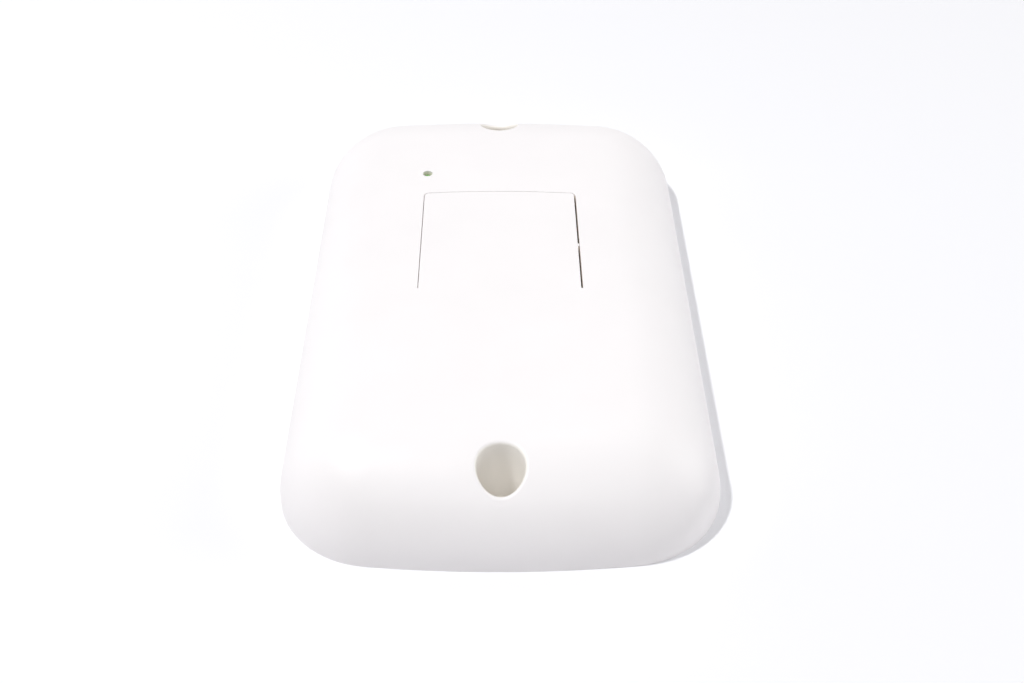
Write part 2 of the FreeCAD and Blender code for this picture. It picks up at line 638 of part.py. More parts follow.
def screw(name, x, y, seat, length):
    """A pan-head self-tapping screw driven in from the back, its head under the seat."""
    base = f"({seat} - dim.screw_head_height)"
    end = f"({seat} + {length})"
    blank = turned(f"{name}_blank", [
        ("0", base),
        ("dim.screw_head_radius - dim.screw_head_rounding", base),
        ("dim.screw_head_radius", f"{base} + dim.screw_head_rounding"),
        ("dim.screw_head_radius", seat),
        ("dim.screw_radius", seat),
        ("dim.screw_radius", f"{end} - dim.screw_tip"),
        ("dim.screw_point_radius", end),
        ("0", end),
    ], x, y)
    deep = (f"{base} - {PAST}", f"{base} + dim.cross_depth")
    slots = [
        centred_box(f"{name}_slot_a", x, y, "dim.cross_length", "dim.cross_width", deep),
        centred_box(f"{name}_slot_b", x, y, "dim.cross_width", "dim.cross_length", deep),
    ]
    return cut(name, blank, slots)


# The four corners of a rectangle as a tag and the signs of X and Y
CORNERS = [("right_top", "", ""), ("left_top", "-", ""), ("left_low", "-", "-"), ("right_low", "", "-")]
COVER_SCREWS = [(tag, f"{a}{COVER_SCREW_X}", f"{b}{COVER_SCREW_Y}") for tag, a, b in CORNERS]
BOARD_SPOTS = [(tag, f"{a}{BOARD_FIXING_X}", f"{b}{BOARD_FIXING_Y}") for tag, a, b in CORNERS]
BOARD_SCREWS = [BOARD_SPOTS[0], BOARD_SPOTS[2]]
BOARD_PINS = [BOARD_SPOTS[1], BOARD_SPOTS[3]]
WALL_SCREWS = [("top", "0", WALL_SCREW_Y), ("low", "0", f"-{WALL_SCREW_Y}")]
SLOT_GAPS = ("slot_gap", "left_slot_gap", "end_slot_gap")
LEG_X = "(dim.switch_width + dim.leg_sheet) / 2"
LEGS = [(tag, f"{a}{LEG_X}", f"{SWITCH_Y} {b or '+'} dim.leg_pitch / 2") for tag, a, b in CORNERS]
LED_LEADS = [("left", f"{LED_X} - dim.led_lead_pitch / 2"), ("right", f"{LED_X} + dim.led_lead_pitch / 2")]


def front_shell():
    """Moulded cover: rounded walls, screw columns, bosses and pins, window, light hole, recesses."""
    above = f"{FRONT_FACE} + {PAST}"
    outer = outline_form("shell_outer", "0", ("0", FRONT_FACE), EDGE_RADIUS)
    cavity = outline_form("shell_cavity", "dim.shell_wall", ("0", ROOF), f"{EDGE_RADIUS} - dim.shell_wall")
    rebate = outline_form("shell_rebate", "dim.shell_wall - dim.cover_seat", (f"-{PAST}", COVER_TOP))
    window = flap_form("shell_window", "1", (f"{ROOF} - {PAST}", above))
    light_hole = cylinder("shell_light_hole", "dim.led_radius + dim.led_hole_clearance", LED_X, LED_Y,
                          (f"{ROOF} - {PAST}", above))
    walls = cut("shell_walls", outer, [cavity, rebate, window, light_hole])

    posts = []
    holes = []
    for tag, x, y in WALL_SCREWS:
        posts.append(cylinder(f"column_{tag}", COLUMN_RADIUS, x, y, ("0", FRONT_FACE)))
        holes.append(cylinder(f"recess_{tag}", "dim.recess_diameter / 2", x, y, ("dim.recess_floor", above)))
        holes.append(cylinder(f"wall_hole_{tag}", "dim.wall_hole_diameter / 2", x, y, (f"-{PAST}", above)))
    cover_pilot = (f"{PAD_TOP} - {PAST}", f"{HEAD_SEAT} + dim.cover_screw_length + dim.screw_tip")
    for tag, x, y in COVER_SCREWS:
        posts.append(cylinder(f"cover_boss_{tag}", BOSS_RADIUS, x, y, (PAD_TOP, FRONT_FACE)))
        holes.append(cylinder(f"cover_pilot_{tag}", PILOT_RADIUS, x, y, cover_pilot))
    for tag, x, y in BOARD_SPOTS:
        posts.append(cylinder(f"board_boss_{tag}", BOSS_RADIUS, x, y, (BOARD_FRONT, FRONT_FACE)))
    for tag, x, y in BOARD_PINS:
        reach = (f"{BOARD_BACK} - dim.pin_reach", ROOF)
        posts.append(cylinder(f"board_pin_{tag}", "dim.pin_radius", x, y, reach))
    board_pilot_top = f"{BOARD_BACK} + dim.board_screw_length + dim.thread_clearance"
    board_pilot = (f"{BOARD_FRONT} - {PAST}", board_pilot_top)
    for tag, x, y in BOARD_SCREWS:
        holes.append(cylinder(f"board_pilot_{tag}", PILOT_RADIUS, x, y, board_pilot))
    supports = common("shell_supports", outer, join("shell_posts", posts))
    sharp = cut("shell_sharp", join("shell_solid", [walls, supports]), holes)
    round_edges("front_shell", sharp, [
        ("dim.recess_rounding", recess_rim),
        ("dim.led_hole_rounding", light_rim),
        ("dim.slot_rounding", slot_rim),
    ])


def button_flap():
    """Flap moulded in one with the cover: thin web at its lower end, a nib, and a boss over the switch."""
    sharp = flap_form("flap_sharp", "-1", (ROOF, FRONT_FACE))
    panel = round_edges("flap_panel", sharp, [("dim.slot_rounding", slot_rim)])
    edge = "(dim.flap_width / 2 - dim.slot_gap / 2)"
    nib = box("nib", (f"{edge} - dim.nib_width", f"{edge} + dim.slot_gap - dim.nib_gap"),
              (f"{NIB_Y} - dim.nib_width / 2", f"{NIB_Y} + dim.nib_width / 2"),
              (ROOF, f"{FRONT_FACE} - dim.slot_rounding"))
    presser = cylinder("presser", "dim.presser_radius", "0", SWITCH_Y,
                       (f"{ROOF} - dim.presser_height", f"{ROOF} + dim.shell_wall / 2"))
    whole = join("flap_whole", [panel, nib, presser])
    relief = box("web_relief", ("-dim.flap_width", "dim.flap_width"),
                 (f"{HINGE_Y} - {PAST}", f"{HINGE_Y} + dim.web_length"),
                 (f"{ROOF} - {PAST}", f"{FRONT_FACE} - dim.web_thickness"))
    cut("button_flap", whole, [relief])


def rear_cover():
    """Back plate in the shell's rebate, with the battery opening, screw recesses, post and ribs."""
    inset = "dim.shell_wall - dim.cover_seat + dim.cover_clearance"
    base = outline_form("cover_plate", inset, ("0", COVER_TOP))
    inside_plate = "dim.cover_thickness / 2"
    through = (f"-{PAST}", f"{PAD_TOP} + {PAST}")
    solids = [base]
    holes = []
    for tag, x, y in COVER_SCREWS:
        raised = cylinder(f"cover_pad_{tag}", f"{HEAD_RECESS} + dim.pad_wall", x, y, (inside_plate, PAD_TOP))
        solids.append(raised)
        holes.append(cylinder(f"cover_head_{tag}", HEAD_RECESS, x, y, (f"-{PAST}", HEAD_SEAT)))
        holes.append(cylinder(f"cover_shank_{tag}", SCREW_HOLE, x, y, through))
    for tag, x, y in WALL_SCREWS:
        column_hole = f"{COLUMN_RADIUS} + dim.cover_clearance"
        holes.append(cylinder(f"cover_column_{tag}", column_hole, x, y, through))
    solids.append(cylinder("switch_post", "dim.post_radius", "0", SWITCH_Y, (inside_plate, BOARD_BACK)))
    for tag, side in (("left", "-"), ("right", "")):
        solids.append(centred_box(f"cover_rib_{tag}", f"{side}{RIB_X}", "0", "dim.rib_thickness",
                                  f"{BOARD_LENGTH} - 2 * dim.rib_end_margin",
                                  (inside_plate, f"{COVER_TOP} + dim.rib_height")))
    ledge = f"{FLANGE_TOP} + dim.ledge_gap"
    mouth = f"{CAP_RADIUS} + dim.cap_clearance"
    holes.append(cylinder("battery_mouth", mouth, "0", BATTERY_Y, (f"-{PAST}", ledge)))
    holes.append(cylinder("battery_bore", HUB_HOLE, "0", BATTERY_Y, through))
    notch = "dim.lug_angle + 2 * dim.notch_margin"
    for i in range(how_many("dim.lug_count")):
        middle = f"{i} * 360 / dim.lug_count"
        entry = f"{middle} - dim.cap_turn - ({notch}) / 2"
        holes.append(cylinder(f"battery_notch_{i}", f"{LUG_RADIUS} + dim.cap_clearance", "0", BATTERY_Y,
                              (f"-{PAST}", f"{COVER_TOP} + {PAST}"), notch, entry))
        for tag, start in (("locked", f"{middle} + ({notch}) / 2"), ("open", f"{entry} - dim.stop_angle")):
            solids.append(ring(f"{tag}_stop_{i}", STOP_INSIDE, STOP_RADIUS, "0", BATTERY_Y,
                               (inside_plate, LUG_TOP), "dim.stop_angle", start))
    cut("rear_cover", join("cover_solid", solids), holes)


def battery_cap():
    """Coin-turned cap: flange under the ledge, ring wall round the cell, bayonet lugs over the ledge."""
    blank = turned("cap_blank", [
        ("0", "dim.cap_sink"),
        (CAP_RADIUS, "dim.cap_sink"),
        (CAP_RADIUS, FLANGE_TOP),
        (HUB_RADIUS, FLANGE_TOP),
        (HUB_RADIUS, LUG_TOP),
        (HUB_INSIDE, LUG_TOP),
        (HUB_INSIDE, CAP_INSIDE),
        ("0", CAP_INSIDE),
    ], "0", BATTERY_Y)
    solids = [blank]
    for i in range(how_many("dim.lug_count")):
        start = f"{i} * 360 / dim.lug_count - dim.lug_angle / 2"
        solids.append(ring(f"cap_lug_{i}", f"{HUB_RADIUS} - dim.hub_wall / 2", LUG_RADIUS, "0", BATTERY_Y,
                           (LUG_BASE, LUG_TOP), "dim.lug_angle", start))
    slot = centred_box("cap_slot", "0", BATTERY_Y, "dim.coin_slot_length", "dim.coin_slot_width",
                       (f"dim.cap_sink - {PAST}", "dim.cap_sink + dim.coin_slot_depth"))
    cut("battery_cap", join("cap_solid", solids), [slot])


def circuit_board():
    """Board between the bosses and the support post, drilled for screws, pins, legs and leads."""
    blank = plate("board_blank", "0", "0", BOARD_WIDTH, BOARD_LENGTH, (BOARD_BACK, BOARD_FRONT),
                  "dim.board_corner_radius")
    kinds = [
        ("screw", SCREW_HOLE, BOARD_SCREWS),
        ("pin", "dim.pin_radius + dim.fit_clearance", BOARD_PINS),
        ("leg", "dim.leg_width / 2 + dim.hole_clearance", LEGS),
        ("lead", "dim.led_lead_radius + dim.hole_clearance", [(tag, x, LED_Y) for tag, x in LED_LEADS]),
    ]
    through = (f"{BOARD_BACK} - {PAST}", f"{BOARD_FRONT} + {PAST}")
    holes = []
    for kind, radius, spots in kinds:
        for tag, x, y in spots:
            holes.append(cylinder(f"{kind}_hole_{tag}", radius, x, y, through))
    cut("circuit_board", blank, holes)


def push_switch():
    """Small dome switch: body, cover plate, dome and plunger. Returns its four legs."""
    wide = "dim.switch_width"
    body = plate("switch_block", "0", SWITCH_Y, wide, wide, (BOARD_FRONT, SWITCH_TOP), "dim.switch_corner")
    hollow = (CHAMBER_FLOOR, f"{SWITCH_TOP} + {PAST}")
    chamber = cylinder("switch_chamber", CHAMBER_RADIUS, "0", SWITCH_Y, hollow)
    cut("switch_body", body, [chamber])

    pieces = [centred_box("plate_sheet", "0", SWITCH_Y, f"{wide} + 2 * dim.plate_thickness", wide,
                          (SWITCH_TOP, PLATE_TOP))]
    for tag, side in (("left", "-"), ("right", "")):
        pieces.append(centred_box(f"plate_tab_{tag}", f"{side}({wide} + dim.plate_thickness) / 2", SWITCH_Y,
                                  "dim.plate_thickness", "dim.plate_tab_width",
                                  (f"{SWITCH_TOP} - dim.plate_tab_drop", PLATE_TOP)))
    bore = cylinder("plate_bore", "dim.plunger_radius + dim.fit_clearance", "0", SWITCH_Y,
                    (f"{SWITCH_TOP} - {PAST}", f"{PLATE_TOP} + {PAST}"))
    cut("switch_cover_plate", join("plate_solid", pieces), [bore])

    turned("switch_plunger", [
        ("0", NUB_LOW),
        ("dim.nub_radius", NUB_LOW),
        ("dim.nub_radius", COLLAR_LOW),
        (COLLAR_RADIUS, COLLAR_LOW),
        (COLLAR_RADIUS, COLLAR_TOP),
        ("dim.plunger_radius", COLLAR_TOP),
        ("dim.plunger_radius", PLUNGER_TOP),
        ("0", PLUNGER_TOP),
    ], "0", SWITCH_Y)

    foot = f"({CHAMBER_RADIUS} - dim.hole_clearance)"
    curve = f"(({foot} * {foot} + dim.dome_rise * dim.dome_rise) / (2 * dim.dome_rise))"
    middle = f"{DOME_TOP} - {curve}"
    skin = cut("dome_skin", ball("dome_outside", curve, "0", SWITCH_Y, middle),
               [ball("dome_inside", f"{curve} - dim.dome_sheet", "0", SWITCH_Y, middle)])
    keep = cylinder("dome_keep", CHAMBER_RADIUS, "0", SWITCH_Y, (CHAMBER_FLOOR, f"{DOME_TOP} + {PAST}"))
    common("switch_dome", skin, keep)

    tall = (LEAD_TIP, f"{BOARD_FRONT} + dim.leg_rise")
    legs = [centred_box(f"leg_{tag}", x, y, "dim.leg_sheet", "dim.leg_width", tall) for tag, x, y in LEGS]
    group("switch_terminals", legs)
    return legs


def light():
    """Small green light with a domed tip just below the front face. Returns its two leads."""
    neck = f"({LED_TIP} - dim.led_radius)"
    barrel = cylinder("led_barrel", "dim.led_radius", LED_X, LED_Y, (LED_FOOT, neck))
    flange = (LED_FOOT, f"{LED_FOOT} + dim.led_flange_height")
    foot = cylinder("led_foot", "dim.led_flange_radius", LED_X, LED_Y, flange)
    tip = ball("led_tip", "dim.led_radius", LED_X, LED_Y, neck)
    join("status_led", [barrel, foot, tip])
    long = (LEAD_TIP, LED_FOOT)
    leads = [cylinder(f"lead_{tag}", "dim.led_lead_radius", x, LED_Y, long) for tag, x in LED_LEADS]
    group("led_leads", leads)
    return leads


def solder_joints(legs, leads):
    """A cone of solder round each leg and lead on the back of the board."""
    lead_radius = "(dim.led_lead_pitch - dim.led_solder_gap) / 2"
    spots = [(x, y, "dim.solder_radius", pin) for (tag, x, y), pin in zip(LEGS, legs)]
    spots += [(x, LED_Y, lead_radius, pin) for (tag, x), pin in zip(LED_LEADS, leads)]
    cones = []
    for i, (x, y, radius, pin) in enumerate(spots):
        blob = cone(f"solder_blob_{i}", f"{radius} - dim.solder_taper", radius, x, y,
                    (f"{BOARD_BACK} - dim.solder_height", BOARD_BACK))
        cones.append(cut(f"solder_{i}", blob, [pin]))
    group("solder_joints", cones)


def coin_cell():
    """Positive can, gasket ring, negative cap and the electrodes between them."""
    rim = f"({CELL_FRONT} - dim.cell_rim_drop)"
    inside = "(dim.cell_radius - dim.cell_sheet)"
    floor = f"({CELL_BACK} + dim.cell_sheet)"
    lid = f"({CELL_FRONT} - dim.cell_sheet)"
    skirt = f"({CELL_CAP_RADIUS} - dim.cell_sheet)"
    seal_top = f"{rim} + dim.cell_seal_rise"
    turned("coin_cell_can", [
        ("0", CELL_BACK), ("dim.cell_radius", CELL_BACK), ("dim.cell_radius", rim),
        (inside, rim), (inside, floor), ("0", floor),
    ], "0", BATTERY_Y)
    turned("coin_cell_gasket", [
        (CELL_CAP_RADIUS, floor), (inside, floor), (inside, seal_top), (CELL_CAP_RADIUS, seal_top),
    ], "0", BATTERY_Y)
    turned("coin_cell_cap", [
        ("0", CELL_FRONT), (CELL_CAP_RADIUS, CELL_FRONT), (CELL_CAP_RADIUS, f"{floor} + dim.cell_sheet"),
        (skirt, f"{floor} + dim.cell_sheet"), (skirt, lid), ("0", lid),
    ], "0", BATTERY_Y)
    cylinder("coin_cell_electrodes", skirt, "0", BATTERY_Y, (floor, lid))


def battery_holder():
    """Ring on the back of the board that keeps the cell centred, open for both contacts."""
    outside = f"{HUB_INSIDE} + dim.holder_wall"
    block = cylinder("holder_block", outside, "0", BATTERY_Y, (HOLDER_RIM, BOARD_BACK))
    floor = f"{BOARD_BACK} - dim.holder_floor"
    bowl = cylinder("holder_bowl", HUB_INSIDE, "0", BATTERY_Y, (CELL_BACK, floor))
    open_floor = (CELL_BACK, f"{BOARD_BACK} + {PAST}")
    half_contact = "dim.contact_length / 2 + dim.contact_clearance"
    window = centred_box("holder_window", "0", BATTERY_Y, f"2 * ({half_contact})",
                         "dim.contact_width + 2 * dim.contact_clearance", open_floor)
    half_slot = "(dim.contact_width / 2 + dim.contact_clearance)"
    span = (f"{BATTERY_Y} + dim.cell_radius - dim.contact_clearance", f"{BATTERY_Y} + {outside}")
    notch = box("holder_notch", (f"-{half_slot}", half_slot), span, open_floor)
    cut("battery_holder", block, [bowl, window, notch])


def battery_contacts():
    """Upright leaf against the cell's side, and a sprung finger on its negative face."""
    side = f"{BATTERY_Y} + dim.cell_radius + dim.contact_gap"
    across = ("-dim.contact_width / 2", "dim.contact_width / 2")
    leaf = box("contact_leaf", across, (side, f"{side} + dim.contact_sheet"), (HOLDER_RIM, BOARD_BACK))
    foot = box("contact_foot_plate", across, (side, f"{side} + dim.contact_foot"),
               (f"{BOARD_BACK} - dim.contact_sheet", BOARD_BACK))
    join("battery_contact_positive", [leaf, foot])

    body, sketch = new_sketch("battery_contact_negative", "XZ_Plane")
    back, front = "-dim.contact_length / 2", "dim.contact_length / 2"
    bend = f"{back} + dim.contact_foot"
    flat = f"{front} - dim.contact_tip"
    touch = f"({CELL_FRONT} + dim.contact_gap)"
    draw_polygon(sketch, [
        (back, f"{BOARD_BACK} - dim.contact_sheet"),
        (bend, f"{BOARD_BACK} - dim.contact_sheet"),
        (flat, touch),
        (front, touch),
        (front, f"{touch} + dim.contact_sheet"),
        (flat, f"{touch} + dim.contact_sheet"),
        (bend, BOARD_BACK),
        (back, BOARD_BACK),
    ])
    pad(body, sketch, "dim.contact_width", centred=True)
    place(body, "0", BATTERY_Y)


def gull_chip(name, x, y):
    """A moulded chip with a row of bent pins on its left and its right."""
    across, along, height = f"dim.{name}_width", f"dim.{name}_length", f"dim.{name}_height"
    count, pitch, reach = f"dim.{name}_side_pins", f"dim.{name}_pitch", f"dim.{name}_pin_reach"
    moulded = (f"{BOARD_FRONT} + dim.standoff", f"{BOARD_FRONT} + {height}")
    centred_box(f"{name}_chip", x, y, across, along, moulded)
    middle = f"({BOARD_FRONT} + {height} / 2)"
    knee = f"({reach} - dim.pin_foot)"
    steps = [
        ("foot", knee, reach, (BOARD_FRONT, f"{BOARD_FRONT} + dim.pin_sheet")),
        ("riser", knee, f"{knee} + dim.pin_sheet", (BOARD_FRONT, middle)),
        ("arm", "0", f"{knee} + dim.pin_sheet", (f"{middle} - dim.pin_sheet", middle)),
    ]
    pins = []
    for tag, side in (("left", "-"), ("right", "+")):
        for i in range(how_many(count)):
            pin_y = f"{y} + ({i} - ({count} - 1) / 2) * {pitch}"
            pieces = []
            for step, near, far, height_pair in steps:
                centre = f"{x} {side} ({across} + {near} + {far}) / 2"
                pieces.append(centred_box(f"{name}_{tag}_{i}_{step}", centre, pin_y, f"{far} - {near}",
                                          "dim.pin_width", height_pair))
            pins.append(join(f"{name}_{tag}_{i}", pieces))
    group(f"{name}_chip_pins", pins)


def crystal():
    """Ceramic base with a metal lid."""
    seam = f"({BOARD_FRONT} + dim.crystal_base_height)"
    centred_box("crystal_base", CRYSTAL_X, RADIO_Y, "dim.crystal_width", "dim.crystal_length",
                (BOARD_FRONT, seam))
    centred_box("crystal_can", CRYSTAL_X, RADIO_Y, "dim.crystal_width - 2 * dim.crystal_can_inset",
                "dim.crystal_length - 2 * dim.crystal_can_inset", (seam, f"{seam} + dim.crystal_can_height"))


def chip_parts():
    """Rows of chip resistors, capacitors and inductors, and the metal ends that they share."""
    rows = [
        ("resistor", PASSIVE_X, CONTROLLER_Y),
        ("capacitor", PASSIVE_X, SECOND_ROW_Y),
        ("inductor", INDUCTOR_X, INDUCTOR_Y),
    ]
    ends = []
    for kind, first_x, y in rows:
        bodies = []
        height = (BOARD_FRONT, f"{BOARD_FRONT} + dim.{kind}_height")
        for i in range(how_many(f"dim.{kind}_count")):
            x = f"{first_x} + {i} * dim.passive_pitch"
            bodies.append(centred_box(f"{kind}_body_{i}", x, y, "dim.passive_width",
                                      "dim.passive_length - 2 * dim.passive_end", height))
            for tag, side in (("a", "-"), ("b", "+")):
                end_y = f"{y} {side} (dim.passive_length - dim.passive_end) / 2"
                ends.append(centred_box(f"{kind}_end_{i}_{tag}", x, end_y, "dim.passive_width",
                                        "dim.passive_end", height))
        group(f"chip_{kind}s", bodies)
    group("chip_end_caps", ends)


def tantalum():
    """Moulded tantalum capacitor with a metal tab at each end."""
    centred_box("tantalum_capacitor", TANTALUM_X, SECOND_ROW_Y, "dim.tantalum_length",
                "dim.tantalum_width", (BOARD_FRONT, f"{BOARD_FRONT} + dim.tantalum_height"))
    low_half = (BOARD_FRONT, f"{BOARD_FRONT} + dim.tantalum_height / 2")
    ends = []
    for tag, side in (("a", "-"), ("b", "+")):
        x = f"{TANTALUM_X} {side} (dim.tantalum_length + dim.tantalum_end) / 2"
        ends.append(centred_box(f"tantalum_end_{tag}", x, SECOND_ROW_Y, "dim.tantalum_end",
                                "dim.tantalum_end_width", low_half))
    group("tantalum_terminals", ends)


def antenna():
    """Open copper loop printed on the front of the board."""
    right, high = ANTENNA_RIGHT, ANTENNA_TOP
    left, low = f"({right} - dim.antenna_width)", f"({high} - dim.antenna_length)"
    track = "dim.antenna_track"
    deep = (BOARD_FRONT, f"{BOARD_FRONT} + dim.antenna_copper")
    feed = f"{left} + {track} + dim.antenna_feed_gap"
    join("antenna_trace", [
        box("track_left", (left, f"{left} + {track}"), (low, high), deep),
        box("track_top", (left, right), (f"{high} - {track}", high), deep),
        box("track_right", (f"{right} - {track}", right), (low, high), deep),
        box("track_low", (feed, right), (low, f"{low} + {track}"), deep),
    ])


def screws():
    """Four screws through the rear cover and two through the board."""
    group("cover_screws", [
        screw(f"cover_screw_{tag}", x, y, HEAD_SEAT, "dim.cover_screw_length") for tag, x, y in COVER_SCREWS
    ])
    group("board_screws", [
        screw(f"board_screw_{tag}", x, y, BOARD_BACK, "dim.board_screw_length") for tag, x, y in BOARD_SCREWS
    ])


front_shell()
button_flap()
rear_cover()
battery_cap()
circuit_board()
solder_joints(push_switch(), light())
coin_cell()
battery_holder()
battery_contacts()
gull_chip("controller", CONTROLLER_X, CONTROLLER_Y)
gull_chip("radio", RADIO_X, RADIO_Y)
crystal()
chip_parts()
tantalum()
antenna()
screws()
doc.recompute()

NODES = [
    "front_shell", "button_flap", "rear_cover", "battery_cap", "cover_screws",
    "circuit_board", "board_screws",
    "switch_body", "switch_cover_plate", "switch_dome", "switch_plunger", "switch_terminals",
    "status_led", "led_leads", "solder_joints",
    "controller_chip", "controller_chip_pins", "radio_chip", "radio_chip_pins",
    "crystal_base", "crystal_can", "chip_resistors", "chip_capacitors", "chip_inductors", "chip_end_caps",
    "tantalum_capacitor", "tantalum_terminals", "antenna_trace",
    "battery_holder", "battery_contact_positive", "battery_contact_negative",
    "coin_cell_can", "coin_cell_gasket", "coin_cell_cap", "coin_cell_electrodes",
]

for item in doc.Objects:
    if "Invalid" in item.State or "Error" in item.State:
        raise RuntimeError(f"{item.Name} did not rebuild: {item.State}")

for node in NODES:
    shape = doc.getObject(node).Shape
    if shape.isNull() or not shape.isValid() or not shape.Solids:
        raise RuntimeError(f"{node} has no valid solid")

os.makedirs("parts", exist_ok=True)
for node in NODES:
    item = doc.getObject(node)
    item.Label = node
    item.Shape.exportStep(f"parts/{node}.step")
    bounds = item.Shape.BoundBox
    print(f"{node}: {len(item.Shape.Solids)} solids, {item.Shape.Volume:.1f} mm3, "
          f"z {bounds.ZMin:.2f} to {bounds.ZMax:.2f}")
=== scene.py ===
# %% [markdown]
# # A garage door remote that is screwed to the wall
# The real object is a flat white box of moulded plastic with soft roundings, one large flap button,
# a small green light and two deep recesses for the wall screws. The engineering model gives every
# piece its true size and place. This lesson dresses those pieces: it gives each its finish, adds the
# details that moulds, plating and etching leave behind, and photographs the result on a white table.

# %% The frame
import math

import bmesh
import bpy
from mathutils import Matrix, Vector


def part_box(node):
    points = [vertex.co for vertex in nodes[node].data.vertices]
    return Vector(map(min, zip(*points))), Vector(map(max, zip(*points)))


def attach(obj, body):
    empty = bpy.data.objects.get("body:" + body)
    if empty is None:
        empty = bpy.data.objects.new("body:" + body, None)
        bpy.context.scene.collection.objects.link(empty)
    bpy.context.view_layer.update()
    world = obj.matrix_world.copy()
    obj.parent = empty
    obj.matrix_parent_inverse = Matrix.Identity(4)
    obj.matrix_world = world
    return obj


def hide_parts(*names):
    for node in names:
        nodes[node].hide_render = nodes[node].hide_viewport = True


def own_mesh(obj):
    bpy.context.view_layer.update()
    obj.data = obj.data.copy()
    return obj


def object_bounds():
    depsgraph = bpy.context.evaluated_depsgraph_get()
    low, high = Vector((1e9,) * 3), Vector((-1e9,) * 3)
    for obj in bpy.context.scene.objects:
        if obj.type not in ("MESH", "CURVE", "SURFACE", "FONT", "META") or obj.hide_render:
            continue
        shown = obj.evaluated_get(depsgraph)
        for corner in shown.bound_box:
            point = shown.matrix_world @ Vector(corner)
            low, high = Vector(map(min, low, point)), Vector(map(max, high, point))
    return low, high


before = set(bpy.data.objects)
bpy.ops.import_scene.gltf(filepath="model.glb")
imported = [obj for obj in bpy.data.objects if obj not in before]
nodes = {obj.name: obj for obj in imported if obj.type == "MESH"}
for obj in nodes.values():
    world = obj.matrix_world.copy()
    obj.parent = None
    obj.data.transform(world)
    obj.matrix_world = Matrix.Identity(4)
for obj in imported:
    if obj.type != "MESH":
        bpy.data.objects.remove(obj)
cad_low, cad_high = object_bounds()
print("pieces:", len(nodes), "size in mm:", [round(1000 * side, 2) for side in cad_high - cad_low])

# %% [markdown]
# ## The camera
# The photograph looks at the lower end from about 41 degrees above the table, from 24 cm away. A camera
# can be aimed with a constraint, but plain turns are easier to check against a photograph: first the
# heading, then the tilt, and last the small roll of a camera held in the hand. The three turns are in
# radians.

# %% The camera
MM = 0.001
HEADING = 0.0160
TILT = 0.7111
ROLL = 0.0092
LENS_MM = 45.68
SENSOR_MM = 36
PLACE_MM = Vector((-0.67, -182.3, 153.7))

camera = bpy.data.objects.new("camera", bpy.data.cameras.new("camera"))
camera.data.lens = LENS_MM
camera.data.sensor_width = SENSOR_MM
camera.data.clip_start = 0.01
turns = (Matrix.Rotation(-HEADING, 4, "Z")
         @ Matrix.Rotation(math.pi / 2 - TILT, 4, "X")
         @ Matrix.Rotation(ROLL, 4, "Z"))
camera.matrix_world = Matrix.Translation(PLACE_MM * MM) @ turns
bpy.context.scene.collection.objects.link(camera)
bpy.context.scene.camera = camera
print("camera distance in cm:", round(camera.location.length * 100, 1))

# %% [markdown]
# ## Arithmetic on sockets
# A shader is a small calculation. Adding Math nodes by hand hides it, so one class wraps a socket and
# lets ordinary Python signs build those nodes. Every other node comes from one method, which takes the
# node's type, its settings and what goes into its sockets. The same class serves a finish and the sky.


# %% Signals and node trees
class Signal:
    """A socket of a node tree that takes part in sums."""

    def __init__(self, owner, socket):
        self.owner = owner
        self.socket = socket

    def __add__(self, other):
        return self.owner.maths("ADD", self, other)

    def __radd__(self, other):
        return self.owner.maths("ADD", other, self)

    def __sub__(self, other):
        return self.owner.maths("SUBTRACT", self, other)

    def __rsub__(self, other):
        return self.owner.maths("SUBTRACT", other, self)

    def __mul__(self, other):
        return self.owner.maths("MULTIPLY", self, other)

    def __rmul__(self, other):
        return self.owner.maths("MULTIPLY", other, self)


class Nodes:
    """A node tree that is built from signals."""

    def __init__(self, tree):
        self.tree = tree
        tree.nodes.clear()

    def feed(self, socket, value):
        """Links a signal to a socket, or sets a plain value on it."""
        if isinstance(value, Signal):
            self.tree.links.new(value.socket, socket)
        else:
            socket.default_value = value

    def node(self, kind, settings, inputs, output=0):
        """Adds a node, sets it up, feeds its sockets and returns one of its outputs, if it has any."""
        made = self.tree.nodes.new(kind)
        for name, value in settings.items():
            setattr(made, name, value)
        for name, value in inputs.items():
            self.feed(made.inputs[name], value)
        return Signal(self, made.outputs[output]) if len(made.outputs) else None

    def maths(self, operation, first, second=0.0):
        """Adds a Math node that works on signals or plain numbers."""
        return self.node("ShaderNodeMath", {"operation": operation}, {0: first, 1: second})


print("signals add their own Math nodes")

# %% [markdown]
# ## What a finish is
# A finish is a material with one Principled shader. What is the same all over is set on the shader
# itself, and what changes over the surface is a signal. Places come from object coordinates, because
# every piece lies where the engineering model puts it and nothing has to be unwrapped. Masks are made
# from distances in millimetres, so that they can be read against a drawing.


